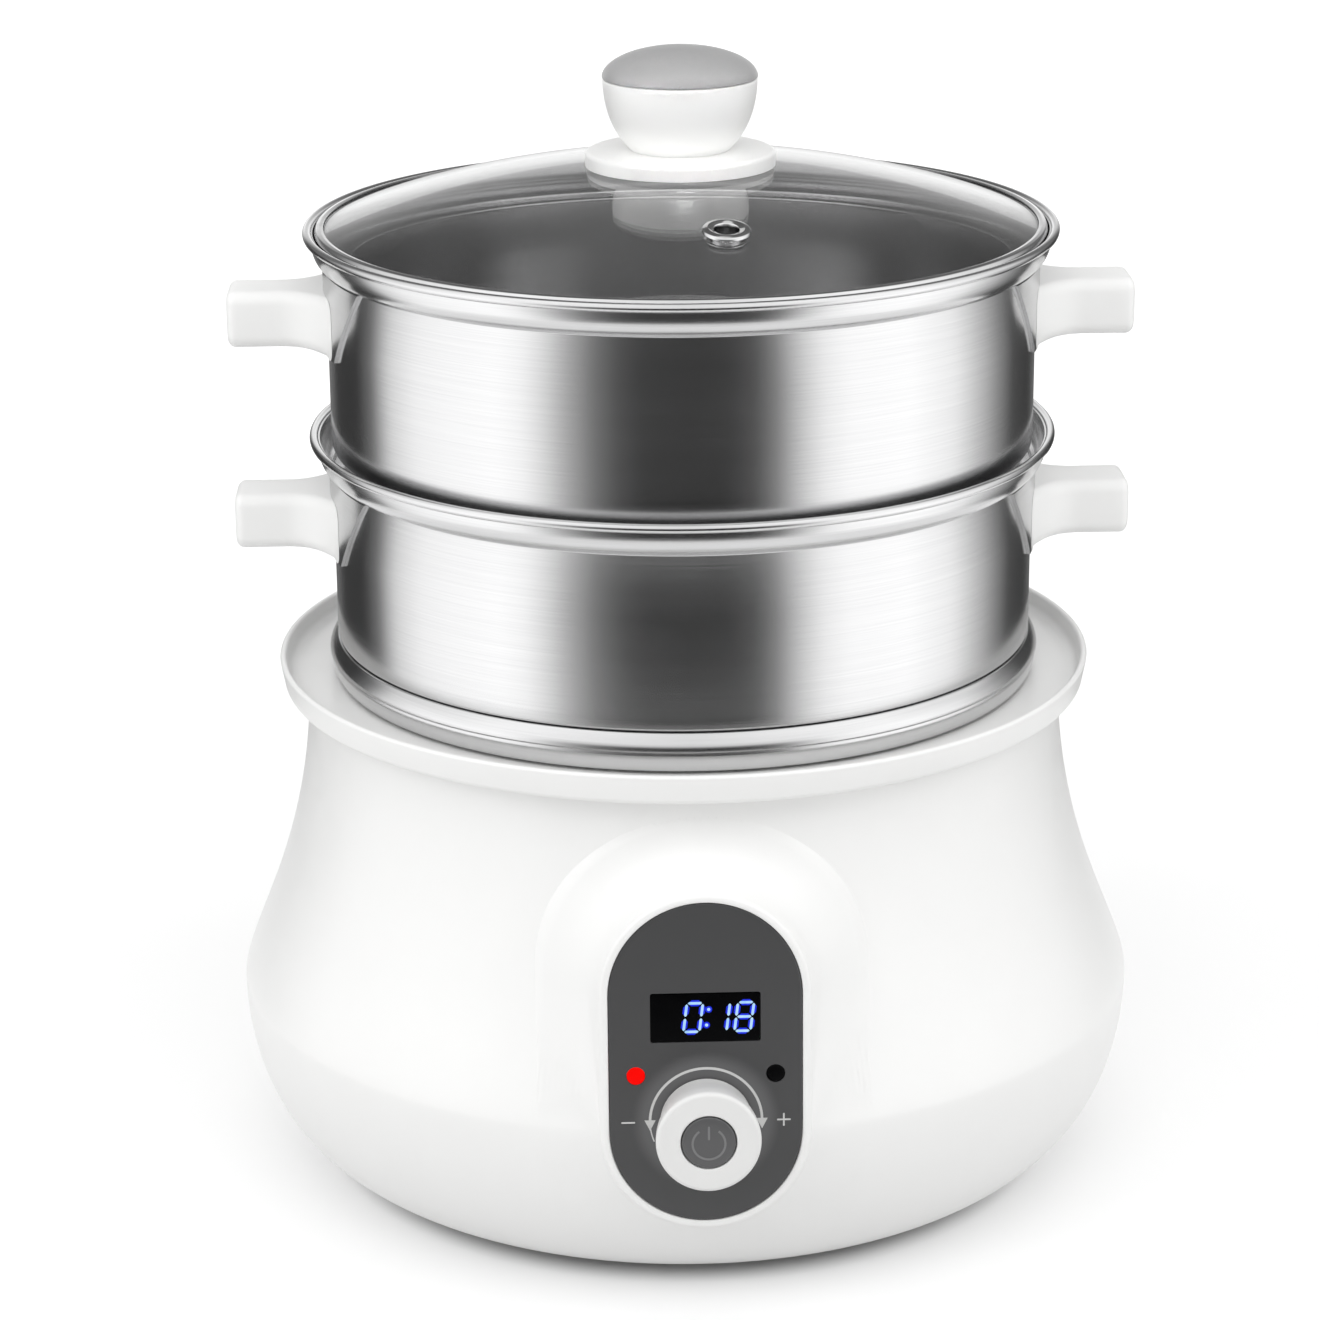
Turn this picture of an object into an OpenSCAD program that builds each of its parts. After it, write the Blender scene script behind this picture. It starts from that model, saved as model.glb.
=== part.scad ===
// Multicooker: heated base with a control panel, cooking pot, two stacked steamer baskets and a glass lid.
// Millimetres, +Z up, origin on the floor at the cooker's vertical axis, front towards -Y.

/* [Baskets] */
// Outer radius of a basket's wall
basket_r = 120; // [110:0.5:130]
// Step in height from one stacked basket to the next
basket_pitch = 70.3; // [60:0.1:90]
// Height of the stretch where the wall draws in towards the foot
draw_h = 25; // [20:0.5:32]
// How far the wall draws in at the foot
draw_in = 5; // [3:0.1:6]
// Width of the ledge that carries the next basket
seat_w = 4; // [3:0.1:5]
// Thickness of the ledge, which is a folded double sheet
ledge_t = 1.6; // [1.2:0.1:2.4]
// Height of the rounded collar
collar_h = 8; // [6:0.1:11]
// Step from the wall out to the collar
collar_step = 4.9; // [4:0.1:6]
// Radius of the rolled bead on the collar
bead_r = 1.5; // [1.2:0.1:2]
// Thickness of the steel sheet
sheet_t = 0.8; // [0.6:0.05:1]
// Radius of a steam hole in the basket floor
steam_hole_r = 3; // [2:0.1:4]
// Rings of steam holes around the one in the middle
steam_rings = 4; // [2:1:5]
// Radial step between the rings of steam holes
steam_ring_step = 21; // [16:0.5:21]

/* [Basket handles] */
// Height of a handle's middle above the basket's foot
handle_z = 52.8; // [48:0.1:58]
// How far a handle's end stands out past the basket's wall
handle_reach = 33.5; // [26:0.5:44]
// Width of the grip, seen from above
handle_w = 24; // [18:0.5:32]
// Thickness of the grip
handle_t = 19.5; // [14:0.5:20]
// Width of the flared root that meets the bracket
root_w = 58; // [44:0.5:62]
// How far the root spreads below the grip
root_drop = 1; // [0.5:0.5:2]
// Radius of the rounded corners at a handle's end
handle_corner = 5; // [3:0.5:7]
// Half width of the steel bracket along its top
bracket_half = 56; // [50:0.5:62]
// Half width of the bracket at its lower end
bracket_tip = 32; // [26:0.5:36]
// Height of the bracket
bracket_h = 28; // [26:0.5:32]
// Sheet of the bracket
bracket_t = 1.2; // [1:0.1:1.6]
// Radius of a handle screw
screw_r = 1.7; // [1.4:0.1:2.4]
// Length of a handle screw's shank
screw_l = 22; // [14:0.5:26]

/* [Lid] */
// Rise of the glass from its edge to its crown
lid_rise = 21.5; // [16:0.5:30]
// Thickness of the glass
glass_t = 4; // [3:0.1:5]
// Sheet of the steel rim round the glass
lid_rim_t = 0.8; // [0.6:0.1:1.2]
// Width of the rim's lips over and under the glass
lip_w = 2.2; // [1.5:0.1:3.5]
// Radius of the guard disc under the lid knob
disc_r = 32; // [26:0.5:38]
// Height of the guard disc above the crown of the glass
disc_h = 3.8; // [3:0.1:6]
// Radius of the lid knob's foot
knob_foot_r = 16.5; // [14:0.5:19]
// Radius of the lid knob under its cap
knob_top_r = 26; // [23:0.5:29]
// Height of the lid knob's body
knob_h = 24.3; // [20:0.1:30]
// Height of the domed cap
cap_h = 10.2; // [7:0.1:13]
// Radius of the vent's hole
vent_r = 4; // [3:0.1:4.5]
// Distance from the axis to the vent
vent_reach = 78; // [60:1:90]
// Angle of the vent from the front, towards the right
vent_turn = 8.3; // [0:0.1:30]

/* [Pot] */
// Depth of the pot below the deck
pot_depth = 118; // [100:1:125]
// Height of the pot's rolled rim above the deck
pot_rim_h = 13.6; // [13:0.1:16]
// Width of the pot's rolled rim
pot_rim_w = 4.2; // [3.6:0.1:5]
// Height of the inner ledge that carries the lower basket
pot_ledge = 1.8; // [1.4:0.1:2.4]
// Radius of the pot's lower corner
pot_corner = 12; // [8:0.5:20]

/* [Base] */
// Height of the deck that the pot stands on
deck_z = 176.5; // [172:0.5:185]
// Distance from the deck's hole out to the neck of the shell
neck_margin = 17.9; // [15:0.1:20]
// How far the belly swells out past the neck
belly_swell = 26.3; // [24:0.1:34]
// Height of the widest part of the belly
belly_z = 66; // [62:0.5:70]
// How far the flat underside lies inside the neck's radius
tuck_in = 9.7; // [8:0.1:11]
// Width of the inward flange that carries the base plate
bottom_flange = 9; // [8:0.5:11]
// Wall of the moulded shell
shell_t = 2.6; // [2:0.1:3.2]
// Thickness of the deck
deck_t = 4; // [3.5:0.1:5]
// Height of the raised lip round the deck
lip_h = 6.3; // [4:0.1:9]
// Thickness of the raised lip
lip_t = 2.4; // [2:0.1:3.5]
// How far the lip stands out past the neck
lip_out = 9.9; // [9:0.1:14]
// Height of the feet under the shell
foot_h = 4; // [3:0.5:6]
// Radius of a foot
foot_r = 9; // [7:0.5:11]
// Distance from the axis to a foot
foot_reach = 96; // [80:0.5:98]
// Thickness of the base plate
plate_t = 2.4; // [2:0.1:3]

/* [Control panel] */
// Width of the panel
panel_w = 62; // [58:0.5:66]
// Height of the panel
panel_h = 108; // [104:0.5:110]
// Height of the panel's middle above the floor
panel_z = 90; // [88:0.5:92]
// Distance of the panel's face behind the widest part of the belly, at the panel's middle
panel_set = 3.5; // [2:0.1:5]
// Angle that the panel leans back
panel_lean = 3; // [0:0.5:6]
// Border of the raised pod round the panel
pod_border = 3; // [2.5:0.1:5]
// How far the pod's sides spread outwards towards the shell
pod_spread = 18; // [12:0.5:22]
// Thickness of the pod's face
pod_face_t = 4; // [3.5:0.1:5]
// Thickness of the grey fascia
fascia_t = 1.7; // [1.4:0.1:1.9]
// Width of the display window
display_w = 35; // [30:0.5:40]
// Height of the display window
display_h = 16.4; // [12:0.2:18]
// Height of the display's middle above the panel's middle
display_y = 15.7; // [14:0.1:18]
// Distance of the indicator lamps from the panel's edge
lamp_inset = 8.6; // [7:0.1:9]
// Height of the indicator lamps above the panel's middle
lamp_y = -3.8; // [-5:0.1:0]
// Radius of an indicator lamp
lamp_r = 2.9; // [2:0.1:3.2]
// Height of the knob's axis above the panel's middle
knob_y = -19.6; // [-21:0.1:-19]
// Radius of the control knob where it meets the panel
dial_base_r = 13.6; // [12.5:0.1:15]
// Radius of the control knob's front
dial_front_r = 16.8; // [15.5:0.1:18]
// Length of the control knob
dial_l = 18.4; // [16:0.1:20]
// Radius of the power button
button_r = 9.1; // [8:0.1:10]
// Travel of the power button
button_travel = 1; // [0.6:0.1:1.1]
// Radius of the encoder's hollow shaft
shaft_r = 3; // [2.6:0.1:3.4]

/* [Heater and power] */
// Thickness of the heating plate
heater_t = 12; // [10:0.5:15]
// Radius of the heating plate
heater_r = 85; // [76:0.5:92]
// Radius of the heating element's ring
element_ring_r = 48; // [42:0.5:52]
// Radius of the heating element's tube
element_r = 3.6; // [3:0.1:4]
// Radius of the temperature sensor's cap
sensor_r = 15; // [13:0.5:17]
// Travel of the temperature sensor's cap
sensor_travel = 2; // [1:0.1:2.5]
// Width of the power inlet
inlet_w = 44; // [40:0.5:50]
// Height of the power inlet
inlet_h = 26; // [24:0.5:28]
// Height of the power inlet's middle above the floor
inlet_z = 36; // [34:0.5:38]

/* [Hidden] */
// Gap under a piece that lifts off its seat
seat_gap = 0.2;
// Gap round a piece that fits inside another
fit_gap = 0.15;
// Gap of a turning or sliding fit
run_gap = 0.05;
// Gap between pieces that pass each other
clear_gap = 0.5;

// Radii that follow from the basket
foot_ring_r = basket_r - draw_in;
ledge_in_r = foot_ring_r - seat_w;
draw_r = (pow(draw_h - 2, 2) + draw_in * draw_in) / (2 * draw_in);
wall_mid_r = basket_r - sheet_t / 2;
collar_z = basket_pitch + 1;
collar_r = basket_r + collar_step;
bead_ring_r = collar_r + bead_r - 0.4;
bead_z = collar_z + collar_h + 2;

// Heights of the stacked pieces
pot_z = deck_z + seat_gap;
basket_low_z = pot_z + pot_ledge + seat_gap;
basket_up_z = basket_low_z + basket_pitch + seat_gap;

// Lid
lid_r = collar_r - sheet_t - clear_gap;
glass_r = lid_r - lid_rim_t - fit_gap;
dome_r = (glass_r * glass_r + lid_rise * lid_rise) / (2 * lid_rise);
lid_edge_z = basket_up_z + bead_z + 0.2;
crown_z = lid_edge_z + lid_rise;
disc_top_z = crown_z + disc_h;
knob_cap_z = disc_top_z + knob_h;
lid_screw_r = 2.5;
lid_hole_r = lid_screw_r + 1.5;
lid_skirt_drop = 5.8;
lid_skirt_bend = 3;
washer_r = knob_foot_r - 6;
washer_t = 1.5;
washer_z = dome_z(washer_r) - glass_t - run_gap - washer_t;

// Pot, liner and shell
pot_r = ledge_in_r + sheet_t;
deck_hole_r = pot_r + 1;
rim_in_r = basket_r - 1.2;
liner_r = deck_hole_r + 1;
neck_r = deck_hole_r + neck_margin;
belly_r = neck_r + belly_swell;
bottom_r = neck_r - tuck_in;
bottom_hole_r = bottom_r - bottom_flange;
lip_r = neck_r + lip_out;
neck_z = deck_z - deck_t;
neck_ledge_r = neck_r - 8;
plate_z = foot_h + shell_t;
base_plate_r = bottom_r - 3;

// Heater
pot_floor_z = pot_z - pot_depth;
heater_top_z = pot_floor_z - 0.3;
heater_z = heater_top_z - heater_t;
sensor_hole_r = sensor_r + 0.6;
sensor_wall = 1.5;
holder_l = 14;
spring_wire_r = 0.6;
spring_r = sensor_r - 5;
spring_turns = 6;

// Panel
panel_cap_y = (panel_h - panel_w) / 2;
panel_y = panel_set - belly_r;
lamp_x = panel_w / 2 - lamp_inset;
fascia_front = -0.3;
fascia_back = fascia_front - fascia_t;
board_t = 1.6;
post_l = 10;
board_front = fascia_back - post_l;
board_w = panel_w - 14;
board_h = panel_h - 14;
post_x = board_w / 2 - 3.5;
post_y = board_h / 2 - 9;
bush_r = shaft_r + 1.5;
stem_r = shaft_r - 1.35;
encoder_w = 14;
encoder_front = board_front + 7;
switch_room = 4;
switch_w = 6;
switch_h = 2.6;
plunger_r = 1.5;
plunger_l = 2.2;
dial_back = 0.2;
button_back = dial_l - 3.8;

// Power electronics under the liner
inlet_front = belly_r - 2.5;
inlet_l = 28;
inlet_wall = 3;
pin_l = 14;
pin_r = 2;
pin_step = 8.8;
pin_stagger = 3;
power_board_w = 72;
power_board_h = 50;
power_board_x = liner_r + sheet_t + 1.5;
power_board_z = plate_z + plate_t + 4;
power_post = [6, 8, 15];
power_post_y = 14;
terminal_l = 13;

$fn = 96;

// Curves
function arc(c, rx, ry, a0, a1, n) = [
    for (i = [0:n])
        let (a = a0 + (a1 - a0) * i / n)
        [c[0] + rx * cos(a), c[1] + ry * sin(a)]
];

function bezier(p, n) = [
    for (i = [0:n])
        let (t = i / n, s = 1 - t)
        s * s * s * p[0] + 3 * s * s * t * p[1] + 3 * s * t * t * p[2] + t * t * t * p[3]
];

function unit(v) = v / norm(v);

// Sideways direction of a path at one of its points, lengthened at a bend
function side_at(path, i) =
    let (
        last = len(path) - 1,
        before = unit(path[max(i, 1)] - path[max(i, 1) - 1]),
        after = unit(path[min(i, last - 1) + 1] - path[min(i, last - 1)]),
        along = unit(before + after)
    )
    [-along[1], along[0]] / (along * before);

function beside(path, d) = [for (i = [0:len(path) - 1]) path[i] + d * side_at(path, i)];

function backwards(list) = [for (i = [len(list) - 1:-1:0]) list[i]];

// Outline of a sheet of thickness t along a path
function sheet(path, t) = concat(beside(path, t / 2), backwards(beside(path, -t / 2)));

// Height of the glass's upper face at radius r
function dome_z(r) = crown_z - dome_r + sqrt(dome_r * dome_r - r * r);

// Base shell outline, moved inwards by t
function belly_curve(t) = concat(
    bezier([
        [bottom_r, foot_h + t],
        [bottom_r + 7.7, foot_h + t],
        [belly_r - t, belly_z - 48.2],
        [belly_r - t, belly_z]
    ], 14),
    bezier([
        [belly_r - t, belly_z],
        [belly_r - t - 4.1, belly_z + 16.6],
        [neck_r - t + 1.1, neck_z - 57.1],
        [neck_r - t, neck_z]
    ], 12)
);

module stadium(w, h) {
    square([w, h - w], center = true);
    for (side = [-1, 1])
        translate([0, side * (h - w) / 2])
            circle(d = w);
}

// Places children on the control panel: x to the right, y up the panel, z out of its face
module on_panel() {
    translate([0, panel_y, panel_z])
        rotate([90 - panel_lean, 0, 0])
            children();
}

module at_dial() {
    on_panel()
        translate([0, knob_y, 0])
            children();
}

module ring_of(count, reach, start = 0) {
    for (i = [0:count - 1])
        rotate(start + i * 360 / count)
            translate([reach, 0, 0])
                children();
}

module tube(r_out, r_in, h) {
    difference() {
        cylinder(r = r_out, h = h);
        translate([0, 0, -1])
            cylinder(r = r_in, h = h + 2);
    }
}

// Half of the raised pod's section across the panel, set back by one wall when inset is 1
function pod_section(inset) =
    let (
        w = panel_w / 2 + pod_border - inset * shell_t,
        face = -inset * pod_face_t
    )
    concat(
        [[0, face]],
        arc([w - 1.5, face - 1.5], 1.5, 1.5, 90, 0, 3),
        bezier([
            [w, face - 1.6],
            [w + 0.6, face - 9],
            [w + pod_spread / 3, face - 16],
            [w + pod_spread, face - 23.5]
        ], 8),
        [[w + pod_spread, face - 40], [0, face - 40]]
    );

// Raised pod that carries the panel, with both ends rounded
module pod_form(inset) {
    for (turn = [0, 180])
        rotate(turn)
            translate([0, panel_cap_y, 0])
                rotate_extrude(angle = 180)
                    polygon(pod_section(inset));
    translate([0, panel_cap_y, 0])
        rotate([90, 0, 0])
            linear_extrude(2 * panel_cap_y) {
                polygon(pod_section(inset));
                mirror([1, 0])
                    polygon(pod_section(inset));
            }
}

module outer_shell() {
    inner_top = neck_z - shell_t;
    color("white")
    difference() {
        union() {
            rotate_extrude()
                polygon(concat([[0, foot_h]], belly_curve(0), [[0, neck_z]]));
            on_panel()
                pod_form(0);
        }
        intersection() {
            rotate_extrude()
                polygon(concat([[0, plate_z]], belly_curve(shell_t), [[0, neck_z]]));
            translate([0, 0, plate_z])
                cylinder(r = belly_r, h = inner_top - plate_z);
        }
        on_panel()
            pod_form(1);
        translate([0, 0, inner_top - 1])
            cylinder(r = neck_ledge_r, h = shell_t + 2);
        translate([0, 0, foot_h - 1])
            cylinder(r = bottom_hole_r, h = shell_t + 2);
        on_panel() {
            linear_extrude(20)
                stadium(panel_w + 2, panel_h + 2);
            translate([0, 0, fascia_back])
                linear_extrude(20)
                    stadium(panel_w + 2 * fit_gap, panel_h + 2 * fit_gap);
            translate([0, 0, -pod_face_t - 2])
                linear_extrude(20)
                    stadium(panel_w - 6, panel_h - 6);
        }
        inlet_place()
            translate([0, 0, -inlet_l])
                linear_extrude(2 * inlet_l)
                    stadium_wide(fit_gap);
        ring_of(4, bottom_hole_r + bottom_flange / 2, 45)
            translate([0, 0, foot_h - 1])
                cylinder(r = 1.7, h = shell_t + 2);
        ring_of(4, foot_reach, 0)
            cylinder(r = foot_r + clear_gap, h = plate_z + fit_gap);
    }
}

module rim_tray() {
    flange_room = sheet_t + seat_gap / 2;
    color("white")
    rotate_extrude()
        polygon(concat(
            [[deck_hole_r, neck_z + flange_room], [neck_r - 1.2, neck_z + flange_room]],
            [[neck_r - 1.2, neck_z]],
            arc([lip_r - 4, neck_z + 3.2], 3, 3.2, -90, 0, 5),
            arc([lip_r - lip_t / 2, deck_z + lip_h - lip_t / 2], lip_t / 2, lip_t / 2, 0, 180, 8),
            arc([lip_r - lip_t - 5, deck_z + 4], 5, 4, 0, -90, 6),
            [[deck_hole_r, deck_z]]
        ));
}

module liner() {
    floor_mid = heater_z - sheet_t / 2;
    flange_mid = neck_z + sheet_t / 2;
    wall_r = liner_r + sheet_t / 2;
    color("lightgray")
    rotate_extrude()
        polygon(sheet(concat(
            [[element_ring_r + 12, floor_mid], [wall_r - 8, floor_mid]],
            arc([wall_r - 6, floor_mid + 6], 6, 6, -90, 0, 5),
            [[wall_r, flange_mid - 3]],
            arc([wall_r + 2, flange_mid - 2], 2, 2, 180, 90, 4),
            [[neck_r - 1.7, flange_mid]]
        ), sheet_t));
}

module base_plate() {
    color("dimgray")
    difference() {
        union() {
            translate([0, 0, plate_z])
                cylinder(r = base_plate_r, h = plate_t);
            for (side = [-1, 1])
                translate([
                    power_board_x - run_gap - power_post[0],
                    side * power_post_y - power_post[1] / 2,
                    plate_z + plate_t / 2
                ])
                    cube(power_post);
        }
        ring_of(4, foot_reach, 0)
            translate([0, 0, plate_z - 1])
                cylinder(r = 3 + fit_gap, h = plate_t + 2);
        ring_of(4, bottom_hole_r + bottom_flange / 2, 45)
            translate([0, 0, plate_z - 1])
                cylinder(r = 1.6, h = plate_t + 2);
        for (row = [-3:3])
            translate([-45, row * 9, plate_z + plate_t / 2])
                cube([40, 3.5, plate_t + 2], center = true);
    }
}

module feet() {
    color("dimgray")
    ring_of(4, foot_reach, 0) {
        cylinder(r1 = foot_r - 1, r2 = foot_r, h = 1);
        translate([0, 0, 1])
            cylinder(r = foot_r, h = plate_z - 1);
        cylinder(r = 3, h = plate_z + plate_t + 1);
    }
}

module base_screws() {
    color("silver")
    ring_of(4, bottom_hole_r + bottom_flange / 2, 45) {
        translate([0, 0, foot_h - 1.8])
            cylinder(r = 3.2, h = 1.8);
        translate([0, 0, foot_h - 0.5])
            cylinder(r = 1.5, h = shell_t + plate_t + 1);
    }
}

module heating_plate() {
    color("silver")
    difference() {
        translate([0, 0, heater_z])
            cylinder(r = heater_r, h = heater_t);
        translate([0, 0, heater_z - 1])
            cylinder(r = sensor_hole_r, h = heater_t + 2);
        translate([0, 0, heater_z])
            rotate_extrude()
                translate([element_ring_r, 0])
                    circle(element_r + run_gap, $fn = 32);
    }
}

module heating_element() {
    color("gray")
    union() {
        translate([0, 0, heater_z])
            rotate_extrude()
                translate([element_ring_r, 0])
                    circle(element_r, $fn = 32);
        for (turn = [-12, 12])
            rotate(turn)
                translate([0, element_ring_r, heater_z - terminal_l - 1])
                    cylinder(r = element_r - 1, h = terminal_l);
    }
}

module sensor_cap() {
    cap_l = heater_t + 4;
    color("silver")
    translate([0, 0, heater_top_z - cap_l])
        difference() {
            cylinder(r = sensor_r, h = cap_l);
            translate([0, 0, -1])
                cylinder(r = sensor_r - sensor_wall, h = cap_l + 1 - sensor_wall);
        }
}

module sensor_holder() {
    color("dimgray")
    translate([0, 0, heater_z - holder_l])
        difference() {
            union() {
                cylinder(r = sensor_r + clear_gap + sensor_wall, h = holder_l);
                translate([0, 0, holder_l - sensor_wall])
                    cylinder(r = sensor_r + 9, h = sensor_wall);
            }
            translate([0, 0, sensor_wall])
                cylinder(r = sensor_r + clear_gap, h = holder_l);
            translate([0, 0, -1])
                cylinder(r = 4, h = holder_l);
        }
}

// Coil of round wire swept along a helix
module sensor_spring() {
    sides = 6;
    steps = 12 * spring_turns;
    low = heater_z - holder_l + sensor_wall + spring_wire_r + 0.2;
    high = heater_top_z - sensor_wall - spring_wire_r - 0.2;
    points = [
        for (i = [0:steps], j = [0:sides - 1])
            let (
                turn = 360 * spring_turns * i / steps,
                a = 360 * j / sides,
                r = spring_r + spring_wire_r * cos(a)
            )
            [r * cos(turn), r * sin(turn), low + (high - low) * i / steps + spring_wire_r * sin(a)]
    ];
    skin = [
        for (i = [0:steps - 1], j = [0:sides - 1], half = [0, 1])
            let (
                a = i * sides + j,
                b = i * sides + (j + 1) % sides
            )
            half == 0 ? [a, b, b + sides] : [a, b + sides, a + sides]
    ];
    start = [for (j = [1:sides - 2]) [0, j + 1, j]];
    end = [for (j = [1:sides - 2]) [0, j, j + 1] + [1, 1, 1] * steps * sides];
    color("silver")
        polyhedron(points, concat(skin, start, end));
}

// Places children on the rear power inlet: z out of the socket's mouth
module inlet_place() {
    translate([0, inlet_front, inlet_z])
        rotate([-90, 0, 0])
            children();
}

module stadium_wide(grow) {
    rotate(90)
        stadium(inlet_h + 2 * grow, inlet_w + 2 * grow);
}

module power_inlet() {
    color("dimgray")
    inlet_place()
        translate([0, 0, -inlet_l])
            difference() {
                linear_extrude(inlet_l)
                    stadium_wide(0);
                translate([0, 0, inlet_wall + 4])
                    linear_extrude(inlet_l)
                        stadium_wide(-inlet_wall);
                for (x = [-1, 0, 1])
                    translate([x * pin_step, (abs(x) - 0.5) * pin_stagger, -1])
                        cylinder(r = pin_r + run_gap, h = inlet_l);
            }
}

module inlet_pins() {
    color("silver")
    inlet_place()
        for (x = [-1, 0, 1])
            translate([x * pin_step, (abs(x) - 0.5) * pin_stagger, -inlet_l - 4])
                cylinder(r = pin_r, h = inlet_wall + 8 + pin_l);
}

module power_board_pcb() {
    color("darkgreen")
    translate([power_board_x, -power_board_w / 2, power_board_z])
        cube([board_t, power_board_w, power_board_h]);
}

// Puts a block on the outer face of the standing power board: size is depth, width and height
module on_power_board(at, size) {
    translate([power_board_x + board_t, at[0] - size[1] / 2, power_board_z + at[1]])
        cube(size);
}

module relay() {
    color("black")
        on_power_board([22, 26], [14, 19, 15.5]);
}

module transformer() {
    color("goldenrod")
        on_power_board([-12, 18], [15, 24, 22]);
}

module fascia() {
    color("dimgray")
    on_panel()
        difference() {
            union() {
                translate([0, 0, fascia_back])
                    linear_extrude(fascia_t)
                        stadium(panel_w, panel_h);
                for (x = [-1, 1], y = [-1, 1])
                    translate([x * post_x, y * post_y, board_front])
                        cylinder(r = 2.5, h = post_l + fascia_t / 2);
            }
            translate([0, display_y, fascia_back + fascia_t / 2])
                cube([display_w + 2 * fit_gap, display_h + 2 * fit_gap, 2 * fascia_t], center = true);
            for (x = [-1, 1])
                translate([x * lamp_x, lamp_y, fascia_back - 1])
                    cylinder(r = lamp_r + fit_gap, h = fascia_t + 2);
            translate([0, knob_y, fascia_back - 1])
                cylinder(r = bush_r + fit_gap, h = fascia_t + 2);
        }
}

module display_window() {
    flange = 1.5;
    color("black")
    on_panel()
        translate([0, display_y, 0]) {
            translate([-display_w / 2, -display_h / 2, fascia_back - 0.5])
                cube([display_w, display_h, fascia_t + 0.5]);
            translate([-display_w / 2 - flange, -display_h / 2 - flange, fascia_back - 1])
                cube([display_w + 2 * flange, display_h + 2 * flange, 1]);
        }
}

module display_module() {
    color("black")
    on_panel()
        translate([-display_w / 2, display_y - display_h / 2, board_front])
            cube([display_w, display_h, post_l - 1.2]);
}

module lamp(side) {
    on_panel()
        translate([side * lamp_x, lamp_y, 0])
            rotate_extrude()
                polygon(concat(
                    [[0, board_front], [lamp_r, board_front]],
                    arc([0, fascia_front], lamp_r, 0.7, 0, 90, 6)
                ));
}

module red_lamp() {
    color("red")
        lamp(-1);
}

module dark_lamp() {
    color("black")
        lamp(1);
}

module control_board() {
    color("darkgreen")
    on_panel()
        translate([0, 0, board_front - board_t])
            linear_extrude(board_t)
                stadium(board_w, board_h);
}

module encoder_body() {
    bush_front = dial_back + 2;
    color("dimgray")
    at_dial()
        difference() {
            union() {
                translate([-encoder_w / 2, -encoder_w / 2, board_front])
                    cube([encoder_w, encoder_w, encoder_front - board_front]);
                translate([0, 0, encoder_front - 1])
                    cylinder(r = bush_r, h = bush_front - encoder_front + 1);
            }
            translate([0, 0, board_front])
                cylinder(r = shaft_r + run_gap, h = 20);
            translate([0, 0, board_front + switch_room / 2 - 0.5])
                cube([switch_w + 1, switch_w + 1, switch_room + 1], center = true);
        }
}

module encoder_shaft() {
    shaft_back = board_front + switch_room + 0.4;
    color("silver")
    at_dial()
        translate([0, 0, shaft_back])
            tube(shaft_r, stem_r + 0.1, button_back - 3.4 - shaft_back);
}

module tact_switch() {
    color("black")
    at_dial()
        difference() {
            translate([-switch_w / 2, -switch_w / 2, board_front])
                cube([switch_w, switch_w, switch_h]);
            translate([0, 0, board_front + 0.3])
                cylinder(r = plunger_r + run_gap, h = switch_h);
        }
}

module switch_plunger() {
    color("gray")
    at_dial()
        translate([0, 0, board_front + 0.3 + button_travel + 0.2])
            cylinder(r = plunger_r, h = plunger_l);
}

module dial_knob() {
    recess_r = button_r + 0.3;
    recess_back = button_back - button_travel - 0.4;
    color("white")
    at_dial()
        difference() {
            rotate_extrude()
                polygon(concat(
                    [[bush_r + 0.4, dial_back], [dial_base_r, dial_back]],
                    bezier([
                        [dial_base_r, dial_back],
                        [dial_base_r + 0.4, dial_l * 0.4],
                        [dial_front_r, dial_l * 0.6],
                        [dial_front_r, dial_l - 1.6]
                    ], 8),
                    arc([dial_front_r - 1.6, dial_l - 1.6], 1.6, 1.6, 0, 90, 5),
                    [[recess_r, dial_l], [recess_r, recess_back], [shaft_r + 0.02, recess_back]],
                    [[shaft_r + 0.02, dial_back + 2.6], [bush_r + 0.4, dial_back + 2.6]]
                ));
        }
}

module power_button() {
    stem_back = board_front + 0.3 + button_travel + 0.2 + plunger_l + 0.1;
    color("dimgray")
    at_dial()
        union() {
            rotate_extrude()
                polygon(concat(
                    [[0, button_back], [button_r, button_back]],
                    arc([button_r - 0.8, dial_l - 0.6], 0.8, 0.8, 0, 90, 4),
                    [[0, dial_l + 0.2]]
                ));
            translate([0, 0, stem_back])
                cylinder(r = stem_r, h = button_back - stem_back + 1);
        }
}

module inner_pot() {
    wall = pot_r - sheet_t / 2;
    low = sheet_t / 2 - pot_depth;
    ledge = pot_ledge - sheet_t / 2;
    inner = rim_in_r + sheet_t / 2;
    roll = [inner + 1, pot_rim_h * 0.62];
    color("silver")
    translate([0, 0, pot_z])
        rotate_extrude()
            polygon(sheet(concat(
                [[0, low], [wall - pot_corner - 2, low]],
                arc([wall - pot_corner, low + pot_corner], pot_corner, pot_corner, -90, 0, 8),
                [[wall, ledge], [inner, ledge]],
                arc(roll, pot_rim_w - 1.8, pot_rim_h - roll[1] - sheet_t / 2, 115, 0, 8),
                [roll + [pot_rim_w - 2.2, -0.8]],
                bezier([
                    roll + [pot_rim_w - 2.2, -1.6],
                    roll + [pot_rim_w - 2.2, -4],
                    [inner + 2, 2],
                    [inner + 0.8, sheet_t / 2]
                ], 5)
            ), sheet_t));
}

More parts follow.
